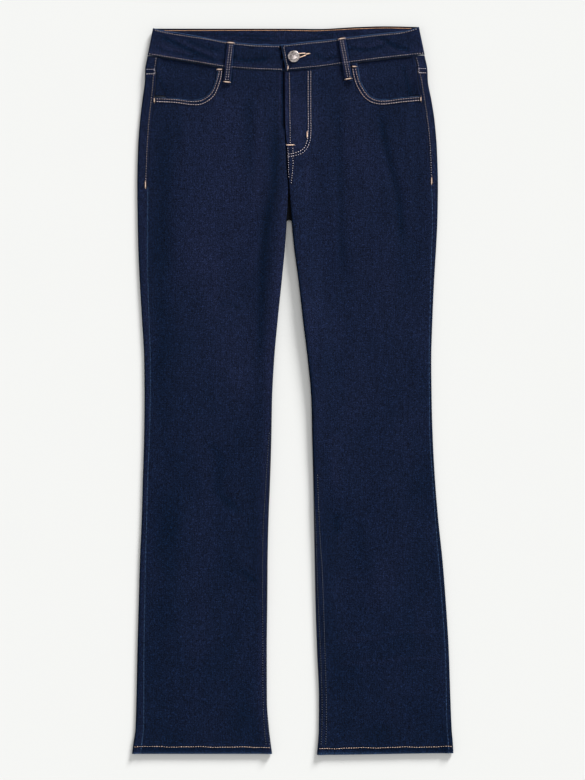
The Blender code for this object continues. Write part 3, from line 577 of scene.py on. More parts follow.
# A seam on the front: how high and how far its allowances raise a strip, and the groove along it
Pad = namedtuple("Pad", "rise reach ease groove width")
OUTSEAM_PAD = Pad(0.30, 7.0, 2.5, 0.35, 0.9)
INSEAM_PAD = Pad(0.35, 7.5, 2.5, 0.3, 0.8)
SCOOP_PAD = Pad(0.5, 6.5, 2.0, 0.4, 0.7)
FLY_GROOVE = 0.3
HEM_RISE = 0.35
HEM_GROOVE = 0.12
RIPPLE = 0.10
HEM_PUCKER, SCOOP_PUCKER, FLY_PUCKER = 0.16, 0.10, 0.08


def padded(distance, pad, raised=1.0):
    """Height of a seam's raised strip with its groove, at a distance from the seam."""
    strip = pad.rise * raised * (1.0 - soft((np.abs(distance) - pad.reach) / pad.ease))
    return strip - pad.groove * hump(distance, pad.width)


def front_relief(half, x, y):
    """Height of the seams, the hem, the pocket's edge, the fly's rows and the puckers beside them."""
    inseam = from_edges(half, x, y)[1] - read(LEGS[half], "inseam", y)
    total = RIPPLE * ripple(x, y)
    total = total + padded(outseam_depth(half, x, y), OUTSEAM_PAD, soft((RISE_END - y) / 10.0))
    total = total + leg_share(y) * padded(inseam, INSEAM_PAD)
    hem = HEM_LINE + HEM_DEPTH
    total = total + HEM_RISE * soft((hem + 1.0 - y) / 2.0) - HEM_GROOVE * hump(y - (HEM_LINE + 10.0), 1.4)
    total = total + HEM_PUCKER * pucker(x, y) * (1.0 - soft((y - hem - 2.0) / 9.0))
    scoop = distance_to(SCOOP_LINES[half][::2], x, y)
    total = total + padded(scoop, SCOOP_PAD) + SCOOP_PUCKER * pucker(x, y) * hump(scoop - 5.0, 4.0)
    if half == "left":
        line = distance_to(J_LINE[::2], x, y)
        total = total - FLY_GROOVE * hump(line, 1.6) + FLY_PUCKER * pucker(x, y) * hump(line, 6.0)
    return total


def from_edges(half, x, y):
    """How far in a place lies from the front's outer edge and from its inner one."""
    return outer_depth(half, x, y), OUTWARD[half] * (x - front_inner_x(half, y))


def front_surface(half, x, y):
    """The front's outer face with its fine relief, which fades out over the folds."""
    from_outer, from_inner = from_edges(half, x, y)
    relief = front_relief(half, x, y) * soft(np.minimum(from_outer, from_inner + 1.5) / 3.0)
    z = front_face(half, x, y) + relief
    return z + lap_rise(x, y) if half == "left" else z


# Lines of light and dark beside a seam or an edge: tone, how far in from it, and width
OUTSEAM_LINES = ((0.5, 0.0, 1.2),)
OUTSEAM_SHADE = ((-1.2, -2.0, 1.0),)  # below the side tack
# painted shade at a leg's outer edge, where its fold turns down
OUTER_LINES = ((-2.5, 0.0, 1.2),)
# the dark line right at the right leg's inner edge is painted shade of the fold turning down
INNER_LINES = {"right": ((1.7, 4.0, 8.5), (-2.0, 0.0, 1.0)), "left": ((1.0, 0.0, 11.0),)}
INNER_PAINTED_SHADE = ((-2.2, 0.0, 4.5), (-3.0, 0.0, 2.0))  # painted shade along the left leg's inner fold, which faces away from the key lamp, from the knee up
# painted shade under the hem's row and along the hem's bottom edge, where the fold turns under
HEM_LINES = ((-1.6, 7.4, 1.3), (-3.0, 0.0, 1.4))
# painted light on the right front a little way from the fly's edge
LAP_PAINTED_LIGHT = ((3.5, -4.4, 1.9),)
FLY_EDGE_LINE = ((2.6, -9.7, 1.7),)
LAP_TONES_FROM, FLY_TONES_FROM = 285.0, 345.0


def patch_sum(patches, x, y):
    """Sum of soft patches of light and dark."""
    return sum(p.tone * hump(x - p.x, p.wide) * hump(y - p.y, p.long) for p in patches)


def pressed(y):
    """1 where the side seam is pressed and worn."""
    return soft((SIDE_SEAM_TOP - y) / 10.0)


def hem_wear(y):
    """The rubbed fold of the hem."""
    return 0.3 * soft((HEM_WORN - y) / 3.0)


def lines(rows, distance):
    """Sum of lines of light and dark at a distance in from a seam or an edge."""
    return sum(tone * hump(distance - away, width) for tone, away, width in rows)


def front_tone(half, x, y):
    """Light and dark of the front: the denim's own tone, with painted shade and light on its folds, its
    edges, its fly and beside its belt loops.
    """
    total = path_sum(STREAKS + SEEN_CREASES, "tone", "shade", x, y) + read(TONE_TOWARDS_HEM, "tone", y)
    total = total + cross_sum(CROSS_CREASES, "tone", "shade", x, y)
    total = total + patch_sum(PATCHES, x, y)
    from_inner = OUTWARD[half] * (x - read(LEGS[half], "inner", y))
    outseam = outseam_depth(half, x, y)
    total = total + lines(OUTSEAM_LINES, outseam)
    total = total + lines(OUTSEAM_SHADE, outseam) * pressed(y)
    total = total + lines(OUTER_LINES, outer_depth(half, x, y)) + lines(HEM_LINES, y - HEM_LINE)
    inner = lines(INNER_LINES[half], from_inner)
    from_lap = x - front_inner_x("left", y)
    beside = soft((y - LAP_TONES_FROM) / 25.0)
    if half == "right":
        # painted shadow cast by the left front's lap edge on the right front
        total = total - 6.0 * soft((from_lap + 1.8) / 0.8) * beside
        total = total + lines(LAP_PAINTED_LIGHT, from_lap) * soft((y - FLY_TONES_FROM) / 30.0)
    else:
        inner = inner + soft((y + 220.0) / 80.0) * lines(INNER_PAINTED_SHADE, from_inner)
        # painted shade along the left front's folded lap edge
        total = total - 5.0 * (1.0 - soft((from_lap - 0.3) / 0.7)) * beside
        total = total + lines(FLY_EDGE_LINE, x) * soft((y - FLY_TONES_FROM) / 30.0)
        over_zip = soft((x + 11.0) / 4.0) * (1.0 - soft((x - 16.0) / 4.0)) * soft((y - FLY_TONES_FROM) / 10.0)
        total = total + over_zip * (0.4 + 1.1 * soft((455.0 - y) / 60.0))
    return total + soft((RISE_END - y) / 60.0) * inner


# Materials

def linear(red, green, blue):
    """A colour as the eye names it, 0 to 255, in the shader's linear numbers."""
    return tuple(((v / 255.0 + 0.055) / 1.055) ** 2.4 for v in (red, green, blue)) + (1.0,)


DENIM = (0.0045, 0.0085, 0.0262)
TONE_GAIN = (0.42, 0.21, 0.17)  # how much a tone of 1 lightens red, green and blue
# the colour of worn denim; on the front loops' right edges it is painted light
DENIM_WORN_AND_LIT = (0.042, 0.086, 0.185)
DENIM_INSIDE = (0.045, 0.052, 0.072)
RIB_WAVES = 290.0
WARP_WAVES = 0.3142 / 0.0034  # groups of warp threads 3.4 mm apart, which the eye still parts at a distance
WEFT_WAVES = 0.3142 / 0.0031
RIB_CONTRAST = 0.5
WEAVE = named_rows(  # noise in the weave: cells a metre along x, y and z, and how strongly it shows
    "name cells roughness contrast",
    ("yarns", (1000.0, 200.0, 500.0), 0.6, 2.2),
    ("picks", (300.0, 1000.0, 500.0), 0.6, 2.4),
    ("grain", (1200.0, 1050.0, 1050.0), 0.7, 4.0),
    ("slubs", (240.0, 22.0, 200.0), 0.5, 0.5),
)
LINT_CELLS, LINT_GAIN, LINT_START, LINT_MOST = (620.0, 560.0, 560.0), 11.0, -6.3, 1.6  # light specks
CLOUD_CELLS, CLOUD_SWING = (17.0, 9.0, 12.0), 2.4
WARP_CONTRAST = 0.25
WEFT_CONTRAST = 0.2
CROSSING_CONTRAST = 0.8
THREAD_COLOURS = {
    "cream": linear(250, 216, 196),  # keyhole, fly bars and hems
    "pale": linear(240, 228, 240),  # topstitching
    "warm": linear(244, 222, 224),  # topstitching of the pockets
    "bar": linear(216, 188, 172),  # the bars that end it
    "dim": linear(118, 127, 152),  # rows that have worn down into the cloth
    "gold": linear(214, 160, 122),  # inside the waistband
}
BUTTON_COLOURS = ((0.35, (0.22, 0.185, 0.18, 1.0)), (0.65, (0.58, 0.52, 0.50, 1.0)))  # stained and rubbed
STITCH_SHADOW_COLOUR = (0.0016, 0.0022, 0.0052)  # painted shadow along a row of stitches, where the shade of its groove falls


class Nodes:
    """Short ways to add and join the nodes of one tree."""

    def __init__(self, tree):
        self.tree = tree

    def add(self, kind, **settings):
        node = self.tree.nodes.new(kind)
        for name, value in settings.items():
            setattr(node, name, value)
        return node

    def put(self, socket, value):
        if hasattr(value, "is_output"):
            self.tree.links.new(value, socket)
        elif value is not None:
            socket.default_value = value

    def set(self, node, **values):
        for name, value in values.items():
            self.put(node.inputs[name.replace("_", " ")], value)
        return node

    def math(self, operation, a, b=None, c=None):
        node = self.add("ShaderNodeMath", operation=operation)
        for socket, value in zip(node.inputs, (a, b, c)):
            self.put(socket, value)
        return node.outputs[0]

    def vector(self, operation, a, b=None, scale=None):
        node = self.add("ShaderNodeVectorMath", operation=operation)
        self.put(node.inputs[0], a)
        self.put(node.inputs[1], b)
        if scale is not None:
            self.put(node.inputs["Scale"], scale)
        return node.outputs["Vector"]

    def attribute(self, name):
        return self.add("ShaderNodeAttribute", attribute_name=name).outputs["Fac"]

    def noise(self, scale, detail=2.0, roughness=0.5):
        """Noise on the object's own coordinates, with so many cells a metre along x, y and z."""
        place = self.add("ShaderNodeTexCoord").outputs["Object"]
        stretched = self.add("ShaderNodeMapping")
        self.set(stretched, Vector=place, Scale=scale)
        node = self.add("ShaderNodeTexNoise")
        self.set(node, Vector=stretched.outputs["Vector"], Scale=1.0, Detail=detail, Roughness=roughness)
        return node.outputs["Fac"]

    def waves(self, direction, scale, distortion, detail, detail_scale):
        """Evenly spaced bands, from -0.5 to 0.5."""
        node = self.add("ShaderNodeTexWave", wave_type="BANDS", bands_direction=direction, wave_profile="SIN")
        place = self.add("ShaderNodeTexCoord").outputs["Object"]
        self.set(
            node, Vector=place, Scale=scale, Distortion=distortion, Detail=detail, Detail_Scale=detail_scale,
        )
        return self.math("SUBTRACT", node.outputs["Fac"], 0.5)

    def bump(self, height, strength, distance):
        node = self.add("ShaderNodeBump")
        self.set(node, Strength=strength, Distance=distance, Height=height)
        return node.outputs["Normal"]


def new_group(name, inputs):
    """A node group that gives a colour and a normal. inputs holds label, socket type and value."""
    group = bpy.data.node_groups.new(name, "ShaderNodeTree")
    for label, kind, value in inputs:
        group.interface.new_socket(name=label, in_out="INPUT", socket_type=kind).default_value = value
    group.interface.new_socket(name="Colour", in_out="OUTPUT", socket_type="NodeSocketColor")
    group.interface.new_socket(name="Normal", in_out="OUTPUT", socket_type="NodeSocketVector")
    n = Nodes(group)
    return group, n, n.add("NodeGroupInput").outputs, n.add("NodeGroupOutput")


def twill_group():
    """Dyed twill: slanting ribs, uneven yarns and a cloudy dye, toned by the mesh's tone attribute, which
    also carries painted shade and light, and worn by its wear attribute, which also carries some painted
    light.
    """
    inputs = [
        ("Base", "NodeSocketColor", DENIM + (1.0,)),
        ("Worn_and_lit", "NodeSocketColor", DENIM_WORN_AND_LIT + (1.0,)),
        ("Rib turn", "NodeSocketFloat", 0.9),
    ]
    group, n, given, out = new_group("twill", inputs)
    place = n.add("ShaderNodeTexCoord").outputs["Object"]
    turned = n.add("ShaderNodeVectorRotate", rotation_type="Z_AXIS")
    n.set(turned, Vector=place, Angle=given["Rib turn"])
    ribs = n.add("ShaderNodeTexWave", wave_type="BANDS", bands_direction="X", wave_profile="SIN")
    n.set(ribs, Vector=turned.outputs["Vector"], Scale=RIB_WAVES, Distortion=1.0, Detail=1.0)
    weave = {layer.name: n.noise(layer.cells, 2.0, layer.roughness) for layer in WEAVE}
    warp = n.waves("X", WARP_WAVES, 5.0, 2.0, 1.2)
    weft = n.waves("Y", WEFT_WAVES, 6.0, 2.0, 1.4)
    clouds = n.noise(CLOUD_CELLS, 2.0, 0.5)
    lint = n.math("MULTIPLY_ADD", n.noise(LINT_CELLS, 1.0, 0.5), LINT_GAIN, LINT_START)
    light = n.math("MULTIPLY_ADD", ribs.outputs["Fac"], RIB_CONTRAST, 1.0 - 0.5 * RIB_CONTRAST)
    for layer in WEAVE:
        light = n.math("MULTIPLY_ADD", n.math("SUBTRACT", weave[layer.name], 0.5), layer.contrast, light)
    light = n.math("MULTIPLY_ADD", n.math("MULTIPLY", warp, weft), CROSSING_CONTRAST, light)
    light = n.math("MULTIPLY_ADD", warp, WARP_CONTRAST, light)
    light = n.math("MULTIPLY_ADD", weft, WEFT_CONTRAST, light)
    light = n.math("ADD", light, n.math("MINIMUM", n.math("MAXIMUM", lint, 0.0), LINT_MOST))
    light = n.math("MAXIMUM", light, 0.15)
    cloud = n.math("MULTIPLY_ADD", clouds, CLOUD_SWING, -0.5 * CLOUD_SWING)
    toned = n.vector("SCALE", TONE_GAIN, scale=n.math("ADD", n.attribute("tone"), cloud))
    toned = n.vector("MAXIMUM", n.vector("ADD", toned, (1.0, 1.0, 1.0)), (0.03, 0.03, 0.03))
    dye_and_painted_shade = n.vector("SCALE", n.vector("MULTIPLY", toned, given["Base"]), scale=light)
    wear_and_light_mix = n.math("MULTIPLY", n.attribute("wear_and_painted_light"), n.math("MULTIPLY_ADD", light, 0.8, 0.1))
    mixed = n.add("ShaderNodeMix", data_type="RGBA", clamp_factor=True)
    n.set(mixed, Factor=wear_and_light_mix)
    n.put(mixed.inputs["A"], dye_and_painted_shade)
    n.put(mixed.inputs["B"], given["Worn_and_lit"])
    n.put(out.inputs["Colour"], mixed.outputs["Result"])
    height = n.math("MULTIPLY_ADD", ribs.outputs["Fac"], 0.12, n.math("MULTIPLY", weave["yarns"], 0.25))
    height = n.math("MULTIPLY_ADD", weave["grain"], 0.12, height)
    height = n.math("MULTIPLY_ADD", clouds, 0.5, height)
    n.put(out.inputs["Normal"], n.bump(height, 1.0, 0.001))
    return group


def fibre_group():
    """Twisted fibres, which each stitch's shade attribute lightens or darkens."""
    inputs = [
        ("Base", "NodeSocketColor", THREAD_COLOURS["pale"]),
        ("Cells", "NodeSocketFloat", 2600.0),
        ("Contrast", "NodeSocketFloat", 0.5),
        ("Depth", "NodeSocketFloat", 0.0002),
    ]
    group, n, given, out = new_group("fibres", inputs)
    place = n.add("ShaderNodeTexCoord").outputs["Object"]
    noise = n.add("ShaderNodeTexNoise")
    n.set(noise, Vector=place, Scale=given["Cells"], Detail=2.0, Roughness=0.6)
    swing = n.math("MULTIPLY", n.math("SUBTRACT", noise.outputs["Fac"], 0.5), given["Contrast"])
    light = n.math("ADD", swing, n.math("ADD", n.attribute("shade"), 1.0))
    n.put(out.inputs["Colour"], n.vector("SCALE", given["Base"], scale=light))
    n.put(out.inputs["Normal"], n.bump(noise.outputs["Fac"], 0.6, given["Depth"]))
    return group


def new_material(name):
    material = bpy.data.materials.new(name)
    material.use_nodes = True
    return material, Nodes(material.node_tree), material.node_tree.nodes["Principled BSDF"]


def grouped_material(name, group, inputs, **looks):
    """A material whose colour and normal come from a shared group."""
    material, n, shader = new_material(name)
    look = n.add("ShaderNodeGroup", node_tree=group)
    n.set(look, **inputs)
    n.set(shader, Base_Color=look.outputs["Colour"], Normal=look.outputs["Normal"], **looks)
    return material


def denim_material(name, base, turn):
    """Denim whose ribs slant by that angle."""
    looks = {"Roughness": 0.85, "Specular_IOR_Level": 0.06, "Sheen_Weight": 0.015, "Sheen_Roughness": 0.6}
    inputs = {"Base": base + (1.0,), "Rib_turn": turn}
    return grouped_material(name, TWILL, inputs, Sheen_Tint=(0.45, 0.55, 0.85, 1.0), **looks)


def thread_material(name, colour):
    """Matt twisted thread."""
    looks = {"Roughness": 0.6, "Specular_IOR_Level": 0.3, "Sheen_Weight": 0.2}
    return grouped_material(name, FIBRES, {"Base": colour}, **looks)


def stitch_shadow_material():
    """Painted shadow along a row of stitches: dark cloth colour where the shade of its groove falls."""
    inputs = {"Base": STITCH_SHADOW_COLOUR + (1.0,), "Cells": 500.0, "Contrast": 1.6, "Depth": 0.0003}
    return grouped_material("painted_stitch_shadow", FIBRES, inputs, Roughness=0.95, Specular_IOR_Level=0.02)


def button_material():
    """Warm plated metal, dulled and stained where it isn't rubbed."""
    material, n, shader = new_material("plated_button")
    stains = n.noise((420.0, 420.0, 420.0), 4.0, 0.6)
    ramp = n.add("ShaderNodeValToRGB")
    for stop, (place, colour) in zip(ramp.color_ramp.elements, BUTTON_COLOURS):
        stop.position = place
        stop.color = colour
    n.set(ramp, Fac=stains)
    rough = n.math("MULTIPLY_ADD", stains, 0.22, 0.18)
    n.set(shader, Base_Color=ramp.outputs["Color"], Roughness=rough, Normal=n.bump(stains, 0.35, 0.0003))
    n.set(shader, Metallic=1.0)
    return material


def tape_material():
    """Woven tape with the close rows of a zip's teeth."""
    material, n, shader = new_material("zip_tape")
    teeth = n.waves("Y", 160.0, 0.3, 2.0, 1.0)
    light = n.math("MULTIPLY_ADD", teeth, 0.6, 1.0)
    n.set(shader, Base_Color=n.vector("SCALE", (0.02, 0.023, 0.04), scale=light))
    n.set(shader, Normal=n.bump(teeth, 0.8, 0.0003), Roughness=0.7)
    return material


def floor_material():
    """A pale, matt surface."""
    material, n, shader = new_material("pale_board")
    light = n.math("MULTIPLY_ADD", n.noise((6.0, 6.0, 6.0), 2.0, 0.5), 0.01, 0.995)
    colour = n.vector("SCALE", (0.80, 0.805, 0.79), scale=light)
    n.set(shader, Base_Color=colour, Roughness=0.9, Specular_IOR_Level=0.0)
    return material


TWILL = twill_group()
FIBRES = fibre_group()
FACE = denim_material("denim_face", DENIM, 0.9)
CLOTH = [FACE, denim_material("denim_inside", DENIM_INSIDE, -0.9)]
THREADS = {name: thread_material(name + "_thread", colour) for name, colour in THREAD_COLOURS.items()}
STITCH_SHADOW = stitch_shadow_material()


# Meshes


def finish_object(name, bm, materials, sharp=None):
    """A mesh object that rides on the root, smooth except at edges sharper than the angle, in degrees."""
    mesh = bpy.data.meshes.new(name)
    bm.to_mesh(mesh)
    bm.free()
    for material in materials:
        mesh.materials.append(material)
    mesh.shade_smooth()
    if sharp:
        mesh.set_sharp_from_angle(angle=math.radians(sharp))
    obj = bpy.data.objects.new(name, mesh)
    bpy.context.scene.collection.objects.link(obj)
    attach(obj, "root")
    return obj


def grid_normals(grid):
    """The surface's direction at each point of a grid."""
    across = np.gradient(grid, axis=0)
    along = np.gradient(grid, axis=1)
    normals = np.cross(across, along)
    return normals / np.maximum(np.linalg.norm(normals, axis=2, keepdims=True), 1e-9)


def shell(name, grid, thickness, faces_up, tone, wear_and_painted_light, materials, edge=0.35, probe=0.33, inner_tone=None):
    """A thin wall of cloth. grid holds x, y, z of its outer face by column and row, and the wall goes in."""
    columns, rows = grid.shape[:2]
    normals = grid_normals(grid)
    middle = normals[int(columns * probe), rows // 2, 2]
    if (middle > 0.0) != faces_up:
        normals = -normals
    inner = grid - normals * thickness[..., None]
    bm = bmesh.new()
    number = bm.verts.layers.int.new("number")
    tones = bm.verts.layers.float.new("tone")
    wear_and_light_layer = bm.verts.layers.float.new("wear_and_painted_light")
    bmesh.ops.create_grid(bm, x_segments=columns - 1, y_segments=rows - 1, size=0.5)
    for vert in bm.verts:
        i = round((vert.co.x + 0.5) * (columns - 1))
        j = round((vert.co.y + 0.5) * (rows - 1))
        vert[number] = i * rows + j
        vert[tones] = tone[i, j]
        vert[wear_and_light_layer] = wear_and_painted_light[i, j]
        vert.co = grid[i, j] * MM
    made = bmesh.ops.extrude_face_region(bm, geom=bm.faces[:])["geom"]
    inside = inner.reshape(-1, 3) * MM
    shades = (tone if inner_tone is None else inner_tone).reshape(-1)
    for item in made:
        if isinstance(item, bmesh.types.BMVert):
            item.co = inside[item[number]]
            item[tones] = shades[item[number]]
        elif isinstance(item, bmesh.types.BMFace):
            item.material_index = 1 if len(materials) > 1 else 0
    bmesh.ops.recalc_face_normals(bm, faces=bm.faces[:])
    if edge:
        rim = [e for e in bm.edges if len(e.link_faces) == 2 and e.calc_face_angle() > 1.0]
        bmesh.ops.bevel(
            bm, geom=rim, offset=edge * MM, offset_type="OFFSET", segments=2, profile=0.5,
            affect="EDGES", clamp_overlap=True, material=-1,
        )
    return finish_object(name, bm, materials, sharp=50)


def lay(node):
    """Hides the part that a cloth piece stands for."""
    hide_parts(node)


def place_columns(columns, rows, point):
    """x, y, z by column and row."""
    return np.array([np.stack(point(column, rows), axis=1) for column in columns])


# Panels

def steps(start, stop, step):
    count = max(int(round(abs(stop - start) / step)), 1)
    return list(np.linspace(start, stop, count + 1)[1:])


EDGE_STEPS = (0.0, 0.4, 1.0, 1.8, 3.0, 4.5, 6.5, 9.0)  # how far below a panel's upper edge its first rows lie
HEM_STEPS = (-525.9, -526.6, HEM_LINE)
LEFT_HEM = (-528.5, -526.0)  # y at its inner and its outer end


def slanted(start, slant, step, extra=()):
    """Rows from a slanted upper edge to the hem: nominal y, and how much of that edge each still follows."""
    heights = [start - d for d in EDGE_STEPS]
    heights += steps(heights[-1], HEM_ROWS, step)
    heights += steps(HEM_ROWS, -525.0, 1.6)
    heights = np.array(sorted(heights + list(HEM_STEPS) + list(extra), reverse=True))
    return heights, 1.0 - soft((start - heights) / slant)


def hem_line(half, x):
    """y of the hem: level on the right leg, a little slanted on the left one."""
    if half == "right":
        return np.full(np.shape(x), HEM_LINE)
    return mix(*LEFT_HEM, soft((x - 35.0) / 198.0))


def finish_y(half, x, y):
    """Slides the last rows on to the hem line."""
    return y + (hem_line(half, x) - HEM_LINE) * soft((HEM_ROWS - y) / (HEM_ROWS - HEM_LINE))


def front_x(half, place, y):
    """x of a front panel's column, from its side seam to its inner edge."""
    kind, value = place
    outward = OUTWARD[half]
    start = seam_path(half, y, "outseam")
    edge = front_inner_x(half, y)
    if kind == "seam":
        return from_fold(half, y, start + value)
    if kind == "across":
        return mix(from_fold(half, y, start + SEAM_MARGIN), edge + outward * EDGE_MARGIN, value)
    folded = leg_share(y)
    crotch_room = 1.0 - soft((CROTCH - y) / 60.0)
    path = value + seam_path(half, y, "inseam") + crotch_room
    return edge + outward * mix(value, inset(path, fold_radius(y)), folded)


def opening_y(half, x):
    """y of a front panel's upper edge: along the waistband, then along the pocket's opening."""
    low = read(FRONT_BAND, "low", x) - WAIST_SEAM_GAP
    scoop = read(SCOOPS[half], "y", x)
    in_scoop = x < SCOOPS[half][-1].x if half == "right" else x > SCOOPS[half][0].x
    return np.where(in_scoop, np.minimum(scoop, low), low)


FRONT_PLACES = [("seam", d) for d in (0.15, 0.5, 1.0, 1.8, 3.0, 4.5, 6.5)]
FRONT_PLACES += [("across", t) for t in spaced(66, 0.45, 0.075, 2.6)]
FRONT_PLACES += [("fold", d) for d in (8.5, 7.0, 5.6, 4.4, 3.4, 2.5, 1.7, 1.0, 0.5, 0.15)]


def front_panel(half):
    """From the side seam over the top to the centre front, and to the inseam below it."""
    def point(place, rows):
        heights, follow = rows
        top = FRONT_TOP
        for _ in range(8):
            top = opening_y(half, front_x(half, place, top))
        y = heights + follow * (top - FRONT_TOP)
        x = front_x(half, place, y)
        y = finish_y(half, x, y)
        return x, y, front_surface(half, x, y)

    grid = place_columns(FRONT_PLACES, slanted(FRONT_TOP, FRONT_SLANT, 3.2), point)
    x, y = grid[..., 0], grid[..., 1]
    tone = front_tone(half, x, y)
    scoop = distance_to(SCOOP_LINES[half][::2], x, y)
    wear_and_painted_light = 0.6 * hump(scoop, 0.9) + hem_wear(y)
    worn = 0.9 if half == "right" else 0.55
    wear_and_painted_light = wear_and_painted_light + (worn + 0.5 * pucker(x, y)) * hump(outseam_depth(half, x, y), 0.85) * pressed(y)
    # painted shade beside the belt loops
    for spot in FRONT_LOOPS:
        tone = tone - LOOP_EDGE_SHADE * loop_edge_shade(spot, x, y)
    return shell("denim_front_" + half, grid, wall_at(y), True, tone, wear_and_painted_light, CLOTH)


def loop_place(half, place, y):
    """x, z of a place on the back's outline, from its centre or inseam round to its side seam."""
    kind, value = place
    outward = OUTWARD[half]
    radius = fold_radius(y)
    edge = back_inner_x(half, y)
    folded = soft((CROTCH - y) / BACK_EASE)
    if kind == "inner":
        flat, path = value
        x = edge + outward * mix(flat, inset(np.full(np.shape(y), path), radius), folded)
        return x, back_face(half, x, y)
    if kind == "inseam":
        flat, part = value
        path = part * (seam_path(half, y, "inseam") - SEAM_GAP / 2.0)
        x = edge + outward * mix(flat, inset(path, radius), folded)
        return x, mix(back_face(half, x, y), front_face(half, x, y), folded)
    if kind == "across":
        x = mix(edge + outward * EDGE_MARGIN, from_fold(half, y, UNDER_MARGIN), value)
        return x, back_face(half, x, y)
    if kind == "under":
        x = from_fold(half, y, value)
        return x, back_face(half, x, y)
    reach = seam_path(half, y, "outseam") - SEAM_GAP / 2.0
    x = from_fold(half, y, value * reach)
    return x, front_face(half, x, y) - 0.3 * hump(outseam_depth(half, x, y), 0.9)


BACK_PLACES = [("inseam", pair) for pair in ((0.0, 1.0), (0.3, 0.75), (0.6, 0.45), (0.9, 0.2))]
BACK_PLACES += [("inner", pair) for pair in ((1.2, 0.0), (1.7, 0.6), (2.2, 1.15), (2.7, 1.75), (3.2, 2.3))]
BACK_PLACES += [("inner", pair) for pair in ((3.7, 2.9), (4.2, 3.45), (5.5, 5.2), (7.0, 7.0), (10.0, 10.0))]
BACK_PLACES += [("across", t) for t in np.linspace(0.0, 1.0, 52)]
BACK_PLACES += [("under", d) for d in (9.0, 7.0, 5.0, 4.2, 3.45, 2.9, 2.3, 1.7, 1.15, 0.6)]
OVER_STEPS = (0.0, 0.05, 0.1, 0.15, 0.2, 0.26, 0.32, 0.42, 0.55, 0.68, 0.8, 0.9, 0.96, 1.0)
BACK_PLACES += [("over", t) for t in OVER_STEPS]


def yoke_seam(half, place):
    """y of the yoke's lower edge: level where it wraps to the front, and dipping to the centre back."""
    kind, value = place
    if kind in ("over", "under"):
        return YOKE_SIDES[half]
    return mix(YOKE_DIP, YOKE_SIDES[half], value if kind == "across" else 0.0)


def waist_edge(half, place):
    """y of the waistband's lower edge along the back's outline."""
    kind, value = place
    edge = outer_x(half, 487.0)
    if kind == "over":
        return read(FRONT_BAND, "low", edge - OUTWARD[half] * 14.0 * value)
    if kind == "under":
        return read(BACK_BAND, "low", edge)
    return read(BACK_BAND, "low", mix(CENTRE_BACK, edge, value if kind == "across" else 0.0))


def back_tone(half, x, y, z):
    """Light and dark of the back's denim, and of the strip of it that wraps to the front, with painted shade
    where that strip turns down at the leg's edge.
    """
    worn = patch_sum(BACK_PATCHES, np.abs(x - CENTRE_BACK), y)
    wrapped = outseam_depth(half, x, y) < 1.0
    over = soft((z - 2.4) / 1.5) * wrapped
    seam = 0.8 * hump(OUTWARD[half] * (x - back_inner_x(half, y)), 4.0)
    # painted shade at the leg's outer edge, where the fold turns down
    edge = hump(outer_depth(half, x, y), 2.4)
    return read(TONE_TOWARDS_HEM, "tone", y) + (worn + seam) * (1.0 - over) + (0.7 - 2.6 * edge) * over


def back_panel(half):
    """From the centre back, or the inseam, under the leg and over its outer fold to the side seam."""
    def point(place, rows):
        heights, follow = rows
        y = heights + follow * (yoke_seam(half, place) - SEAM_GAP - BACK_TOP)
        x, z = loop_place(half, place, y)
        return x, finish_y(half, x, y), z

    grid = place_columns(BACK_PLACES, slanted(BACK_TOP, BACK_SLANT, 4.0, (CROTCH, CROTCH - BACK_EASE)), point)
    x, y, z = grid[..., 0], grid[..., 1], grid[..., 2]
    tone = back_tone(half, x, y, z)
    # painted shadow: the back's inside turns nearly black where it shows between the fronts at the crotch
    crotch = hump(x - CENTRE_BACK, 16.0) * soft((y - 236.0) / 6.0) * (1.0 - soft((y - 340.0) / 20.0))
    inside = mix(tone, -9.0, crotch)
    return shell("denim_back_" + half, grid, wall_at(y), False, tone, hem_wear(y), CLOTH, inner_tone=inside)


def yoke(half):
    """Between the waistband and the back panel."""
    def point(place, rows):
        y = mix(waist_edge(half, place) - WAIST_SEAM_GAP, yoke_seam(half, place), rows)
        x, z = loop_place(half, place, y)
        d = y - yoke_seam(half, place)
        return x, y, z + 0.3 * (z > 3.5) * (1.0 - soft((d - 7.0) / 3.0))

    grid = place_columns(BACK_PLACES, spaced(24, 1.0, 0.15, 1.5), point)
    x, y, z = grid[..., 0], grid[..., 1], grid[..., 2]
    tone = back_tone(half, x, y, z)
    return shell("denim_yoke_" + half, grid, wall_at(y), False, tone, 0.0 * y, CLOTH)


def pocket_facing(half):
    """The denim behind a pocket opening."""
    outward = OUTWARD[half]
    end = FACING_ENDS[half] - outward * FACING_REACH

    def point(place, rows):
        top_guess = mix(outer_x(half, 480.0) - outward * 15.0, end, place)
        top = read(FRONT_BAND, "low", top_guess) - WAIST_SEAM_GAP
        foot = 428.0 - 24.0 * soft((place - 0.12) / 0.16)
        y = mix(top, foot, rows)
        start = from_fold(half, y, seam_path(half, y, "outseam") + 2.0 * SEAM_GAP)
        x = mix(start, end, place)
        behind = soft((np.abs(x - start) - 1.0) / 9.0)
        z = front_face(half, x, y) + 0.12 * ripple(x, y) - behind * (WALL + LAYER_GAP)
        return x, y, z - 0.35 * hump(x - start, 1.0)

    grid = place_columns(np.linspace(0.0, 1.0, 44), np.linspace(0.0, 1.0, 30), point)
    x, y = grid[..., 0], grid[..., 1]
    top = read(FRONT_BAND, "low", x) - y
    # the dip just under the waistband is painted shadow
    tone = -0.5 - 0.3 * hump(top, 4.0) + 0.5 * hump(top - 22.0, 14.0)
    shade, painted_shadow, width, path = FACING_TONES[half]
    # painted shade along a crease of the facing, which its mesh doesn't have
    tone = tone + shade + painted_shadow * distance_hump(path, x, y, width)
    return shell("denim_facing_" + half, grid, 0.9 + 0.0 * x, True, tone, 0.0 * x, CLOTH)


def distance_hump(points, x, y, width):
    """1 on a smooth curve through points, falling off to both sides."""
    return hump(distance_to(curve_through(points), x, y), width)


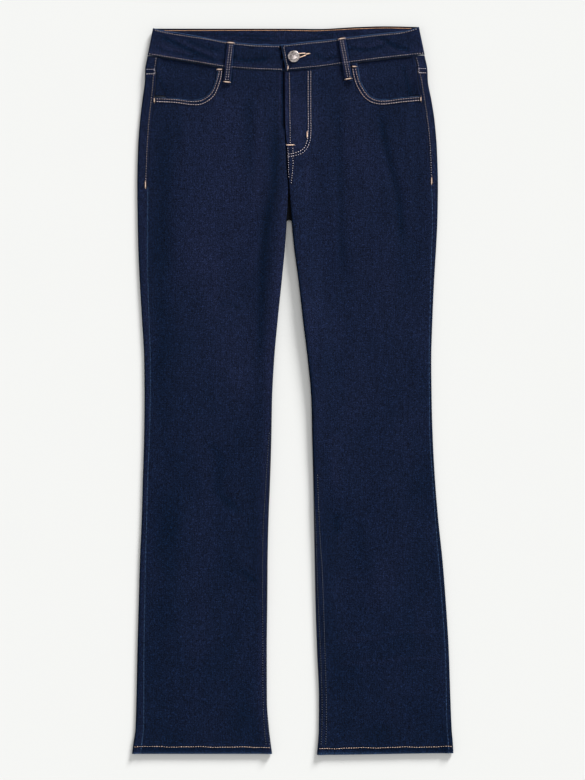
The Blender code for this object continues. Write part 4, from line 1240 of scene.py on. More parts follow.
def back_pocket(half):
    """A plain five-sided patch pocket, under the seat, with its top edge turned in."""
    outward = OUTWARD[half]
    centre = CENTRE_BACK + outward * BACK_POCKET_CENTRE
    inner_top, outer_top, corner, tip = BACK_POCKET_HEIGHTS
    across = np.linspace(-1.0, 1.0, 45)
    middle = np.linspace(0.045, 0.96, 36)
    down = np.concatenate(([0.0, 0.004, 0.012, 0.025], middle, [0.975, 0.988, 0.996, 1.0]))
    u, v = np.meshgrid(across, down, indexing="ij")
    top = mix(inner_top, outer_top, (u + 1.0) / 2.0)
    low = corner - (corner - tip) * (1.0 - np.abs(u))
    y = mix(top, low, v)
    reach = mix(BACK_POCKET_TOP, BACK_POCKET_FOOT, np.clip((407.0 - y) / 117.0, 0.0, 1.0))
    x = centre + outward * u * reach
    edge = np.minimum(np.minimum(reach * (1.0 - np.abs(u)), y - low + 0.5), top - y)
    z = 0.4 + 0.06 * ripple(x, y) ** 2 + 0.15 * hump(edge, 0.8)
    grid = np.stack((x, y, z), axis=2)
    tone = 0.3 + 0.9 * hump(edge, 2.5) + 0.6 * hump(np.hypot(x - centre, y - 340.0), 45.0)
    wear_and_painted_light = 0.5 * hump(edge, 0.9)
    return shell("denim_pocket_" + half, grid, 0.95 + 0.0 * x, False, tone, wear_and_painted_light, CLOTH, edge=0.25)


# Waistband and loops

def band_rise(x):
    """How far the waistband's left end rises where it lies on the right end."""
    return (BAND_WALL + LAYER_GAP) * (1.0 - soft((x - BAND_LAP) / 26.0))


def band_place(place, drop):
    """x, y, z on the waistband's outer face, round from its right end over the back to its left end."""
    part, value = place
    right, left = read(BAND_SIDES, "right", drop), read(BAND_SIDES, "left", drop)
    side = right if part.startswith("right") else left
    inward = 1.0 if part.startswith("right") else -1.0
    turned = inset(BAND_TURN, BAND_FOLD_RADIUS)
    if part == "right_front":
        x = mix(read(BAND_ENDS, "right", drop), right + turned, value)
    elif part == "left_front":
        x = mix(left - turned, read(BAND_ENDS, "left", drop), value)
    elif part == "back":
        x = mix(right + turned, left - turned, value)
    else:
        x = side + inward * inset(value, BAND_FOLD_RADIUS)
    on_front = part.endswith("front") or part.endswith("over")
    table = FRONT_BAND if on_front else BACK_BAND
    y = mix(read(table, "top", x), read(table, "low", x), drop)
    middle = WAIST_LIFT + BAND_FOLD_RADIUS
    height = nose(np.abs(side - x), BAND_FOLD_RADIUS)
    away = np.minimum(read(table, "top", x) - y, y - read(table, "low", x))
    rolled = -0.45 * hump(away, 0.7) + 0.16 * ripple(x, 1.7 * y) * soft(away / 5.0)
    if on_front:
        for depth, width, path in BAND_CREASES:
            rolled = rolled - depth * distance_hump(path, x, y, width)
    z = middle + height + rolled if on_front else middle - height - 0.4 * rolled
    if part == "left_front":
        z = z + band_rise(x)
    return x, y, z


def band_front(x, y):
    """Height of the waistband's front face, right part."""
    drop = np.clip((read(FRONT_BAND, "top", x) - y) / 38.5, 0.0, 1.0)
    side = np.where(x < 0.0, read(BAND_SIDES, "right", drop), read(BAND_SIDES, "left", drop))
    return WAIST_LIFT + BAND_FOLD_RADIUS + nose(np.abs(side - x), BAND_FOLD_RADIUS)


def band_lap(x, y):
    """Height of the waistband's front face, left part."""
    return band_front(x, y) + band_rise(x)


def loop_edge_shade(spot, x, y):
    """1 along the two edges of a belt loop, where painted shade darkens the cloth under it."""
    along = np.clip((spot.top_y - y) / (spot.top_y - spot.foot_y), 0.0, 1.0)
    away = np.abs(x - mix(spot.top_x, spot.foot_x, along)) - LOOP_WIDTH / 2.0
    ends = soft((spot.top_y - 1.0 - y) / 2.0) * soft((y - spot.foot_y + 1.0) / 2.0)
    return hump(away - 0.2, 1.3) * ends


def waistband():
    """One strip, from its right end at the front round the back to its left end, which laps the right one."""
    arcs = (0.0, 0.6, 1.2, 1.8, 2.4, 3.0, 3.6, 4.2, 4.8, 6.5, 9.0)
    places = [("right_front", t) for t in np.linspace(0.0, 1.0, 70)[:-1]]
    places += [("right_over", d) for d in (BAND_TURN,) + arcs[::-1]]
    places += [("right_under", d) for d in arcs[1:]]
    places += [("back", t) for t in np.linspace(0.0, 1.0, 110)]
    places += [("left_under", d) for d in arcs[:0:-1]]
    places += [("left_over", d) for d in arcs + (BAND_TURN,)]
    places += [("left_front", t) for t in np.linspace(0.0, 1.0, 70)[1:]]
    drops = np.array([0.0, 0.01, 0.025, 0.05, 0.08, 0.12] + list(np.linspace(0.17, 0.83, 14)))
    drops = np.concatenate((drops, [0.88, 0.92, 0.95, 0.975, 0.99, 1.0]))
    grid = place_columns(places, drops, band_place)
    x, y, z = grid[..., 0], grid[..., 1], grid[..., 2]
    drop = np.broadcast_to(drops, x.shape)
    on_front = z > WAIST_LIFT + BAND_FOLD_RADIUS
    wear_and_painted_light = np.where(on_front, 1.0, 0.0) * hump(drop, 0.014) + 0.2 * hump(1.0 - drop, 0.02)
    tone = 0.15 + 0.7 * hump(drop - 0.9, 0.12) - 0.5 * hump(drop - 0.45, 0.2) * hump(x + 40.0, 60.0)
    # painted shade in the waistband's creases, besides their depth
    for depth, width, path in BAND_CREASES:
        tone = tone - 4.5 * depth * distance_hump(path, x, y, width)
    tone = tone + 1.3 * sum(distance_hump(path, x, y, 2.2) for path in BAND_RIDGES)
    # painted shade beside the belt loops
    for spot in FRONT_LOOPS:
        tone = tone - LOOP_EDGE_SHADE * loop_edge_shade(spot, x, y)
    tone = tone + patch_sum(BAND_PATCHES, x, y)
    inside = 0.7 - 6.0 * (1.0 - soft((drop - 0.03) / 0.03))
    # painted shade of folds on the waistband's inside
    inside = inside - 2.2 * sum(distance_hump(path, x, y, 1.5) for path in BAND_INSIDE_PAINTED_SHADE)
    tone = np.where(on_front, tone, inside)
    wear_and_painted_light = wear_and_painted_light + 0.25 * hump(x - read(BAND_ENDS, "left", drop), 0.9) * (z > BAND_FRONT + 1.0)
    lap_edge = read(BAND_ENDS, "left", drop)
    # painted shadow cast by the waistband's left end on the right end beside it
    tone = tone - 8.0 * (x < lap_edge) * on_front * soft((x - lap_edge + 3.3) / 1.3)
    wall = BAND_WALL + 0.0 * x
    band = shell("denim_waistband", grid, wall, True, tone, wear_and_painted_light, [FACE], edge=0.5, probe=0.1)
    cut_buttonhole(band)
    return band


def buttonhole_outline(grow):
    """The keyhole's outline: a round eye under the button, and a slit that narrows to its tack."""
    x0, y0 = BUTTON_CENTRE
    x1, y1 = BUTTONHOLE_END
    along = math.atan2(y1 - y0, x1 - x0)
    outline = []
    for step in range(13):
        turn = along + math.pi / 2.0 + math.pi * step / 12.0
        radius = BUTTONHOLE_WIDTH / 2.0 + grow
        outline.append((x0 + radius * math.cos(turn), y0 + radius * math.sin(turn)))
    for side in (-1.0, 1.0):
        turn = along + side * math.pi / 2.0
        radius = BUTTONHOLE_SLIT / 2.0 + grow
        outline.append((x1 + radius * math.cos(turn), y1 + radius * math.sin(turn)))
    return outline


def cut_buttonhole(band):
    """Cuts the keyhole out of the waistband's left end."""
    bm = bmesh.new()
    low = (BAND_FRONT + LAYER_GAP / 2.0) * MM
    corners = [bm.verts.new((x * MM, y * MM, low)) for x, y in buttonhole_outline(0.0)]
    face = bm.faces.new(corners)
    lifted = bmesh.ops.extrude_face_region(bm, geom=[face])["geom"]
    tops = [part for part in lifted if isinstance(part, bmesh.types.BMVert)]
    bmesh.ops.translate(bm, verts=tops, vec=(0, 0, 8 * MM))
    bmesh.ops.recalc_face_normals(bm, faces=bm.faces[:])
    cutter = finish_object("keyhole_cutter", bm, [])
    modifier = band.modifiers.new("Keyhole", "BOOLEAN")
    modifier.operation = "DIFFERENCE"
    modifier.object = cutter
    bpy.context.view_layer.update()
    done = bpy.data.meshes.new_from_object(band.evaluated_get(bpy.context.evaluated_depsgraph_get()))
    band.modifiers.clear()
    band.data = done
    bpy.data.objects.remove(cutter)


LOOP_SIDES = np.array((-1.0, -0.94, -0.82, -0.6, -0.35, 0.0, 0.35, 0.6, 0.82, 0.94, 1.0))
LOOP_TACKS = (0.045, 0.945)  # how far down a loop its bars lie
# how much painted shade darkens the cloth beside a belt loop
LOOP_EDGE_SHADE = 3.0


def loop_rows(count):
    """Rows down a belt loop, closer together at its ends."""
    return np.concatenate(([0.0, 0.008, 0.02], np.linspace(0.04, 0.96, count), [0.98, 0.992, 1.0]))


def at_tacks(row):
    """1 where a belt loop is tacked down."""
    return sum(hump(row - tack, 0.035) for tack in LOOP_TACKS)


def loop_surface(spot):
    """The outer face of a front belt loop, as a function of x and y."""
    half = "right" if spot.top_x < 0.0 else "left"

    def height(x, y):
        row = np.clip((spot.top_y - y) / (spot.top_y - spot.foot_y), 0.0, 1.0)
        low = read(FRONT_BAND, "low", x)
        panel = front_face(half, x, np.minimum(y, low))
        if half == "left":
            panel = panel + lap_rise(x, y)
        under = mix(BAND_FRONT, panel, soft((low + 1.0 - y) / 12.0))
        return under + 0.5 + LOOP_BOW * np.sin(math.pi * row) + LOOP_WALL

    return height


def front_loop(number, spot):
    """A belt loop over the front of the waistband, its edges folded in and its ends tacked."""
    rise = loop_surface(spot)

    def point(side, rows):
        x = mix(spot.top_x, spot.foot_x, rows) + side * LOOP_WIDTH / 2.0
        y = mix(spot.top_y, spot.foot_y, rows)
        folded = 0.22 * (1.0 - hump(abs(side) - 0.55, 0.4)) - 0.35 * hump(1.0 - abs(side), 0.1)
        return x, y, rise(x, y) + folded - 0.5 * at_tacks(rows)

    grid = place_columns(LOOP_SIDES, loop_rows(38), point)
    side = np.broadcast_to(LOOP_SIDES[:, None], grid.shape[:2])
    tone = 0.9 + 0.6 * hump(np.abs(side) - 0.8, 0.25)
    # painted light along the loop's right edge, which faces the key lamp, in the worn colour
    wear_and_painted_light = 0.25 * hump(side - 1.0, 0.12)
    name = "denim_loop_{}".format(number)
    return shell(name, grid, LOOP_WALL + 0.0 * side, True, tone, wear_and_painted_light, [FACE], edge=0.4)


def back_loop(number, offset):
    """A belt loop under the back of the waistband."""
    side, row = np.meshgrid(LOOP_SIDES, loop_rows(30), indexing="ij")
    x = CENTRE_BACK + offset + side * LOOP_WIDTH / 2.0
    y = mix(BACK_LOOP_TOP, BACK_LOOP_FOOT, row)
    z = 0.4 + 0.12 * hump(side, 0.4) + 0.25 * at_tacks(row)
    grid = np.stack((x, y, z), axis=2)
    tone = 0.2 + 0.8 * hump(np.abs(side) - 0.8, 0.25)
    wear_and_painted_light = 0.5 * hump(np.abs(side) - 1.0, 0.12)
    name = "denim_loop_{}".format(number)
    return shell(name, grid, 1.55 + 0.0 * x, False, tone, wear_and_painted_light, [FACE], edge=0.35)


# Thread

def travelled(line):
    """How far along a line each of its points lies."""
    return np.concatenate(([0.0], np.cumsum(np.linalg.norm(np.diff(line, axis=0), axis=1))))


def spots_along(path, pitch):
    """Places a pitch apart along a smooth curve through a path, and the heading at each."""
    line = curve_through(path, 0.5)
    lengths = travelled(line)
    count = max(int(round(lengths[-1] / pitch)), 1)
    at = (np.arange(count) + 0.5) * lengths[-1] / count
    x, y = np.interp(at, lengths, line[:, 0]), np.interp(at, lengths, line[:, 1])
    ahead = np.clip(at + 0.4, 0.0, lengths[-1])
    behind = np.clip(at - 0.4, 0.0, lengths[-1])
    dx = np.interp(ahead, lengths, line[:, 0]) - np.interp(behind, lengths, line[:, 0])
    dy = np.interp(ahead, lengths, line[:, 1]) - np.interp(behind, lengths, line[:, 1])
    return x, y, np.arctan2(dy, dx)


BEAD_SHADES = (-0.2, -0.11, -0.03, 0.05, 0.12)


def bead_meshes(rings, index):
    """The round shape behind a stitch or its painted shadow, once in each shade."""
    meshes = []
    for shade in BEAD_SHADES:
        bm = bmesh.new()
        shades = bm.verts.layers.float.new("shade")
        bmesh.ops.create_uvsphere(bm, u_segments=6, v_segments=rings, radius=0.5)
        for vert in bm.verts:
            vert[shades] = shade
        for face in bm.faces:
            face.material_index = index
        mesh = bpy.data.meshes.new("bead")
        bm.to_mesh(mesh)
        bm.free()
        meshes.append(mesh)
    return meshes


PITCH = 3.55
# kinds of row: the thread's width, the pitch from one stitch to the next, and what shows of each
ROWS = {
    "side": (0.88, PITCH, 1.1),
    "pocket edge": (0.8, PITCH, 2.4),
    "pocket": (0.95, PITCH, 2.4),
    "inseam": (0.85, PITCH, 1.5),
    "hem": (0.78, PITCH, 3.2),
    "fly inner": (0.92, PITCH, 2.1),
    "fly outer": (0.85, PITCH, 2.1),
    "fly edge": (0.85, PITCH, 1.5),
    "rise edge": (0.75, PITCH, 2.1),
    "rise": (0.8, PITCH, 2.1),
    "waistband": (0.95, PITCH, 1.25),
    "waistband inside": (0.95, 2.8, 2.7),
    "loop": (1.0, PITCH, 1.3),
    "back loop": (0.7, PITCH, 1.7),
    "back": (0.8, PITCH, 1.7),
    "back hem": (0.85, PITCH, 1.7),
    "back pocket": (0.75, PITCH, 1.7),
    "yoke end": (0.9, 3.1, 2.3),
    "yoke turn": (0.8, 3.0, 2.0),
}
# kinds of bar tack: length and width
TACKS = {
    "pocket side": (6.0, 2.0),
    "pocket top": (6.8, 2.0),
    "side": (8.6, 1.9),
    "fly foot": (9.6, 1.7),
    "fly bar": (8.0, 1.7),
    "waistband end": (3.6, 1.4),
    "keyhole": (5.0, 1.9),
    "loop": (8.0, 2.0),
    "back loop": (8.4, 2.4),
    "back pocket": (8.0, 2.2),
}
TACK_PITCH = 0.62
SHADOW_MARGIN = 1.3  # how much wider than its thread a row's painted shadow is
BEADS = {"thread": bead_meshes(5, 0), "painted_shadow": bead_meshes(3, 1)}


class Sewing:
    """Collects stitches into one mesh. Each is a small spindle of thread over a dark bead of painted shadow.
    """

    def __init__(self, name, thread):
        self.name = name
        self.materials = [THREADS[thread], STITCH_SHADOW]
        self.bm = bmesh.new()
        self.bm.verts.layers.float.new("shade")
        self.chance = random.Random(SEED + len(name))

    def bead(self, kind, centre, axes, sizes):
        """Lays one bead, its round shape stretched along three axes."""
        columns = [axis * size * MM for axis, size in zip(axes, sizes)] + [centre * MM]
        laid = self.chance.choice(BEADS[kind]).copy()
        laid.transform(Matrix([[column[k] for column in columns] for k in range(3)] + [[0, 0, 0, 1]]))
        self.bm.from_mesh(laid)
        bpy.data.meshes.remove(laid)

    def stitches(self, x, y, heading, surface, up, length, width, height, painted_shadow=(0.0, 0.0)):
        """A spindle of thread at each place, over a painted shadow where a length and width are given for
        one.
        """
        reach = 0.35
        cos, sin = np.cos(heading), np.sin(heading)
        z = surface(x, y)

        def slope(dx, dy):
            ahead = surface(x + dx * reach, y + dy * reach)
            return (ahead - surface(x - dx * reach, y - dy * reach)) / (2 * reach)

        rise_on, rise_by = slope(cos, sin), slope(-sin, cos)
        for px, py, pz, c, s, on, by in zip(x, y, z, cos, sin, rise_on, rise_by):
            forward = Vector((c, s, on)).normalized()
            side = Vector((-s, c, by)).normalized()
            normal = forward.cross(side).normalized() * up
            axes = (normal.cross(forward), normal, forward)
            place = Vector((px, py, pz))
            sizes = (width * self.chance.uniform(0.9, 1.08), height, length * self.chance.uniform(0.9, 1.08))
            self.bead("thread", place + normal * height * 0.12, axes, sizes)
            # a dark bead of painted shadow under each stitch
            if painted_shadow[0]:
                self.bead("painted_shadow", place + normal * 0.08, axes, (painted_shadow[1], 0.25 * height + 0.3, painted_shadow[0]))

    def row(self, kind, path, surface, up=1.0):
        """Stitches a pitch apart along a smooth path."""
        width, pitch, length = ROWS[kind]
        x, y, heading = spots_along(path, pitch)
        turn = heading + np.array([self.chance.uniform(-0.06, 0.06) for _ in x])
        height = (0.8 if up > 0.0 else 0.6) * width
        # painted shadow under the row, as long as the pitch
        painted_shadow = (1.12 * pitch, width + SHADOW_MARGIN)
        self.stitches(x, y, turn, surface, up, length, width, height, painted_shadow)

    def tack(self, kind, x, y, turn, surface, up=1.0):
        """A bar of close stitches across two long ones, its loose ends showing."""
        length, width = TACKS[kind]
        count = int(length / TACK_PITCH)
        at = (np.arange(count) - (count - 1) / 2.0) * TACK_PITCH
        px, py = x + at * math.cos(turn), y + at * math.sin(turn)
        slant = turn + math.pi / 2.0 + np.array([self.chance.uniform(-0.2, 0.2) for _ in at])
        middle = (np.array([x]), np.array([y]), np.array([turn]))
        # the long middle stitch, over a wide painted shadow under the bar
        self.stitches(*middle, surface, up, length * 0.9, width, 0.3, (length + 3.4, width + 3.2))
        raised = 0.25 if up > 0.0 else 0.0
        height = 0.8 if up > 0.0 else 0.5
        self.stitches(px, py, slant, lambda u, v: surface(u, v) + raised, up, width, 0.78, height)
        ends = np.array([-1.0, 1.0]) * (length / 2.0 + 0.8)
        ex, ey = x + ends * math.cos(turn), y + ends * math.sin(turn)
        self.stitches(ex, ey, turn + np.array([0.5, -0.4]), surface, up, 2.6, 0.6, 0.5)

    def done(self):
        return finish_object(self.name, self.bm, self.materials)


def level(z):
    """A plane at that height, as a surface to sew on."""
    return lambda x, y: z + 0.0 * x


def points_down(function, start, stop, step=12.0):
    """A path of places down the garment, from a function of y."""
    count = max(int(abs(stop - start) / step), 2)
    return [(float(function(y)), float(y)) for y in np.linspace(start, stop, count + 1)]


SIDE_ROWS = {
    "right": (
        (-198.1, 483.1), (-202.1, 454.0), (-203.7, 434.4), (-206.9, 406.9), (-209.4, 382.8),
        (-211.4, 350.3), (-213.4, 306.0),
    ),
    "left": ((179.1, 483.1), (185.2, 457.2), (190.1, 428.0), (195.8, 390.9), (199.5, 350.3), (201.1, 311.0)),
}
SIDE_TACKS = {"right": (-213.7, 298.8), "left": (201.4, 304.2)}
POCKET_ROWS = {
    "right": (
        (
            (-198.1, 423.0), (-171.4, 421.7), (-145.4, 418.8), (-129.2, 421.7), (-116.3, 433.0),
            (-108.6, 452.4), (-106.4, 463.7),
        ),
        (
            (-198.1, 419.2), (-171.4, 417.8), (-146.0, 414.6), (-130.5, 416.2), (-114.6, 427.6),
            (-105.4, 449.5), (-102.9, 463.7),
        ),
    ),
    "left": (
        (
            (90.6, 466.9), (95.4, 449.2), (102.8, 434.6), (112.5, 424.1), (128.6, 419.2), (157.8, 422.4),
            (183.7, 424.8),
        ),
        (
            (86.8, 466.9), (91.3, 447.5), (99.5, 431.4), (110.8, 420.1), (128.6, 415.4), (157.8, 418.4),
            (183.7, 421.0),
        ),
    ),
}
UPRIGHT = 1.57
POCKET_TACKS = {
    "right": (("pocket side", -200.8, 421.0, UPRIGHT), ("pocket top", -105.6, 465.4, 0.0)),
    "left": (("pocket side", 185.6, 422.6, UPRIGHT), ("pocket top", 88.2, 469.6, 0.0)),
}
INSEAM_ROWS = {
    "right": (
        (
            (-30.9, -30.0), (-32.6, -87.6), (-34.6, -142.7), (-36.4, -197.8), (-37.6, -260.0),
            (-38.2, -330.0), (-38.6, -400.0), (-38.0, -455.0), (-35.8, -492.0), (-33.4, -514.0),
        ),
        (
            (-34.0, -60.0), (-37.8, -113.7), (-40.6, -161.5), (-42.9, -199.2), (-43.8, -248.5),
            (-43.8, -290.6), (-43.4, -361.6), (-43.2, -440.0), (-41.4, -488.0), (-38.6, -514.0),
        ),
    ),
    "left": (
        (
            (31.0, -152.8), (32.9, -189.1), (34.2, -226.8), (36.2, -290.6), (40.2, -377.6), (42.3, -440.0),
            (42.5, -480.0), (41.0, -514.0),
        ),
        (
            (35.7, -120.9), (38.0, -180.4), (40.3, -226.8), (43.1, -273.2), (47.0, -390.6), (48.6, -450.0),
            (48.6, -490.0), (47.4, -514.0),
        ),
    ),
}


HEM_ROW_ENDS = {"right": (-516.4, -517.4), "left": (-516.2, -519.3)}


def hem_path(half):
    """The hem's row, which sways a little."""
    outward = OUTWARD[half]
    start, end = outer_x(half, -517.0) - outward * 1.6, front_inner_x(half, -517.0) + outward * 1.6
    path = []
    for t in np.linspace(0.0, 1.0, 25):
        sway = 0.45 * math.sin(19.0 * t + 0.8 * outward) + 0.25 * math.sin(41.0 * t)
        path.append((mix(start, end, t), mix(*HEM_ROW_ENDS[half], t) + sway))
    return path


def sew_front(half):
    """Topstitching that shows on one half of the front."""
    panel, smooth = partial(front_surface, half), partial(front_face, half)
    pale = Sewing("stitches_front_" + half, "pale")
    warm = Sewing("stitches_pocket_" + half, "warm")
    bars = Sewing("tacks_front_" + half, "bar")
    cream = Sewing("stitches_hem_" + half, "cream")
    dim = Sewing("stitches_inseam_" + half, "dim")
    pale.row("side", SIDE_ROWS[half], smooth)
    for kind, path in zip(("pocket edge", "pocket"), POCKET_ROWS[half]):
        warm.row(kind, path, panel)
    for path in INSEAM_ROWS[half]:
        dim.row("inseam", path, panel)
    cream.row("hem", hem_path(half), panel)
    for kind, x, y, turn in POCKET_TACKS[half]:
        bars.tack(kind, x, y, turn, panel)
    bars.tack("side", *SIDE_TACKS[half], UPRIGHT, smooth)
    return [pale.done(), warm.done(), bars.done(), cream.done(), dim.done()]


FLY_ROWS = (
    ("fly inner", J_INNER),
    ("fly outer", J_OUTER),
    ("fly edge", ((-4.9, 460.5), (-4.1, 392.4), (-3.5, 357.5))),
    ("rise edge", ((-7.0, 352.5), (-6.6, 337.0), (-6.1, 325.2), (-5.6, 308.0))),
    ("rise", ((0.1, 352.5), (0.2, 337.0), (0.3, 325.2), (-2.3, 299.0))),
)


def sew_fly():
    """The fly's rows and bars, and the rise seam under it, all on the left front."""
    panel = partial(front_surface, "left")
    pale, cream = Sewing("stitches_fly", "pale"), Sewing("tacks_fly", "cream")
    for kind, path in FLY_ROWS:
        pale.row(kind, path, panel)
    cream.tack("fly foot", -3.4, 355.8, 0.0, panel)
    cream.tack("fly bar", 20.9, 370.6, UPRIGHT, panel)
    return [pale.done(), cream.done()]


BAND_RIGHT_ROWS = (
    (
        (-200.5, 522.4), (-181.0, 517.8), (-149.1, 512.7), (-120.1, 508.4), (-98.3, 504.0), (-62.1, 499.9),
        (-33.1, 498.6), (-19.0, 498.2),
    ),
    ((-208.8, 487.9), (-198.4, 486.4), (-138.9, 476.8), (-99.8, 470.4), (-57.7, 467.0), (-15.0, 465.4)),
)
BAND_LEFT_ROWS = (
    (
        (-13.6, 498.6), (-4.1, 499.6), (27.8, 503.2), (64.1, 507.4), (93.1, 511.0), (125.0, 514.8),
        (158.3, 518.2), (180.2, 524.0),
    ),
    (
        (-7.8, 465.6), (35.1, 470.0), (69.9, 474.9), (84.4, 476.9), (125.0, 482.2), (158.3, 485.8),
        (189.6, 489.2),
    ),
    ((-13.2, 497.5), (-7.2, 467.0)),
)
BAND_INSIDE_ROW = (
    (-186.0, 522.2), (-100.0, 522.5), (-5.0, 522.5), (36.0, 522.0), (93.0, 524.8), (134.0, 525.9),
    (172.0, 525.2),
)


def sew_band():
    """Rows round the waistband, its end, and the keyhole."""
    pale, cream = Sewing("stitches_waistband", "pale"), Sewing("tacks_waistband", "cream")
    inside = Sewing("stitches_band_inside", "gold")
    for path in BAND_RIGHT_ROWS:
        pale.row("waistband", path, band_front)
    for path in BAND_LEFT_ROWS:
        pale.row("waistband", path, band_lap)
    cream.tack("waistband end", -7.0, 467.2, 1.3, band_lap)
    inside.row("waistband inside", BAND_INSIDE_ROW, level(WAIST_LIFT + BAND_WALL))
    for edge, shift in (("top", -3.0), ("low", 2.2)):
        path = [(x, float(read(BACK_BAND, edge, x)) + shift) for x in np.linspace(-200.0, 181.0, 20)]
        pale.row("back", path, level(WAIST_LIFT), up=-1.0)
    sew_keyhole(cream)
    return [pale.done(), cream.done(), inside.done()]


def sew_keyhole(cream):
    """Close stitches round the keyhole, square to its edge, and the bar at its end."""
    outline = buttonhole_outline(1.0)
    ring = np.array([outline[-1]] + outline[:-1])
    lengths = travelled(ring)
    at = np.arange(0.3, lengths[-1], 0.66)
    x, y = np.interp(at, lengths, ring[:, 0]), np.interp(at, lengths, ring[:, 1])
    ahead = np.clip(at + 0.3, 0.0, lengths[-1])
    heading = np.arctan2(np.interp(ahead, lengths, ring[:, 1]) - y, np.interp(ahead, lengths, ring[:, 0]) - x)
    across = heading + math.pi / 2.0
    cream.stitches(x, y, across, lambda u, v: band_lap(u, v) + 0.2, 1.0, 1.7, 0.8, 0.8)
    along = math.atan2(BUTTONHOLE_END[1] - BUTTON_CENTRE[1], BUTTONHOLE_END[0] - BUTTON_CENTRE[0])
    cream.tack("keyhole", *KEYHOLE_TACK, along, band_lap)


LOOP_ROWS = (-1.75, 1.75)
LOOP_UNDER = 0.45  # height of the back loops' face that lies on the surface


def sew_loops():
    """Two rows down each belt loop, and a bar at each end."""
    pale, bars = Sewing("stitches_loops", "pale"), Sewing("tacks_loops", "bar")
    for spot in FRONT_LOOPS:
        rise = loop_surface(spot)
        turn = math.atan2(spot.top_y - spot.foot_y, spot.top_x - spot.foot_x)
        for side in LOOP_ROWS:
            path = ((spot.top_x + side, spot.top_y - 5.0), (spot.foot_x + side, spot.foot_y + 5.5))
            pale.row("loop", path, rise)
        for t in LOOP_TACKS:
            x, y = mix(spot.top_x, spot.foot_x, t), mix(spot.top_y, spot.foot_y, t)
            bars.tack("loop", x, y, turn - math.pi / 2.0, rise)
    for offset in BACK_LOOP_OFFSETS:
        x = CENTRE_BACK + offset
        for side in LOOP_ROWS:
            path = ((x + side, BACK_LOOP_TOP - 5.0), (x + side, BACK_LOOP_FOOT + 5.0))
            pale.row("back loop", path, level(LOOP_UNDER), up=-1.0)
        for y in (BACK_LOOP_TOP - 3.0, BACK_LOOP_FOOT + 3.0):
            bars.tack("back loop", x, y, 0.0, level(LOOP_UNDER), up=-1.0)
    return [pale.done(), bars.done()]


# The back's inseam rows: how far in from the seam at the crotch, and how far down each goes
BACK_INSEAM_ROWS = {"right": ((2.2, 60.0), (8.2, -40.0)), "left": ((2.2, -60.0), (8.2, -100.0))}
YOKE_ENDS = {"right": (3.9, -2.6), "left": (3.6, -2.6)}  # its rows on the front, above and below the seam


def sew_back(half):
    """Rows of the back: yoke, centre back, inseam, hem and pocket."""
    outward, side = OUTWARD[half], YOKE_SIDES[half]
    under, smooth = partial(back_face, half), partial(front_face, half)
    pale, cream = Sewing("stitches_back_" + half, "pale"), Sewing("tacks_back_" + half, "cream")
    xs = np.linspace(CENTRE_BACK + outward * 2.0, outer_x(half, 460.0) - outward * 3.0, 20)
    ys = mix(YOKE_DIP, side, np.clip((np.abs(xs - CENTRE_BACK) - 14.0) / 185.0, 0.0, 1.0))
    for shift in (2.0, 8.0):
        pale.row("back", [(float(x), float(y) + shift) for x, y in zip(xs, ys)], under, up=-1.0)

    def seam(y):
        return float(outer_x(half, y) - outward * (read(LEGS[half], "outseam", y) - 0.8))

    for shift in YOKE_ENDS[half]:
        y = side + shift
        pale.row("yoke end", ((float(outer_x(half, y) - outward * 1.6), y), (seam(y), y)), smooth)
    turn = ((seam(460.0) + outward * 0.4, side + 3.6), (seam(460.0), side - 2.4))
    pale.row("yoke turn", turn, smooth)
    if half == "left":
        for shift in (1.6, 7.6):
            centre = points_down(lambda y: CENTRE_BACK + shift, 484.0, 250.0, 20.0)
            pale.row("back", centre, under, up=-1.0)
    for shift, end in BACK_INSEAM_ROWS[half]:

        def inseam(y):
            away = 2.6 + shift * soft((y - end) / (200.0 - end))
            return read(LEGS[half], "inner", y) + outward * away

        pale.row("back", points_down(inseam, 240.0, end, 25.0), under, up=-1.0)
    start, stop = outer_x(half, -517.0) - outward * 3.0, read(LEGS[half], "inner", -517.0) + outward * 3.0
    cream.row("back hem", [(float(x), -517.0) for x in np.linspace(start, stop, 8)], under, up=-1.0)
    sew_back_pocket(half, pale, cream)
    return [pale.done(), cream.done()]


def sew_back_pocket(half, pale, cream):
    """Two rows round the pocket and across its top, and a bar at each top corner."""
    outward = OUTWARD[half]
    centre = CENTRE_BACK + outward * BACK_POCKET_CENTRE
    inner_top, outer_top, corner, tip = BACK_POCKET_HEIGHTS
    for shift in (2.0, 8.0):
        corners = [
            (-(BACK_POCKET_TOP - shift), inner_top - 1.0),
            (-(BACK_POCKET_FOOT - shift), corner + 0.6 * shift),
            (0.0, tip + 1.1 * shift),
            (BACK_POCKET_FOOT - shift, corner + 0.6 * shift),
            (BACK_POCKET_TOP - shift, outer_top - 1.0),
        ]
        for (x0, y0), (x1, y1) in zip(corners, corners[1:]):
            ends = ((centre + outward * x0, y0), (centre + outward * x1, y1))
            pale.row("back pocket", ends, level(0.42), up=-1.0)
    for depth in (3.0, 11.0):
        reach = BACK_POCKET_TOP - 2.5
        ends = ((centre - outward * reach, inner_top - depth), (centre + outward * reach, outer_top - depth))
        pale.row("back pocket", ends, level(0.42), up=-1.0)
    for side, y in ((-1.0, inner_top - 5.0), (1.0, outer_top - 5.0)):
        x = centre + outward * side * (BACK_POCKET_TOP - 2.2)
        cream.tack("back pocket", x, y, UPRIGHT, level(0.5), up=-1.0)


# Button and zip

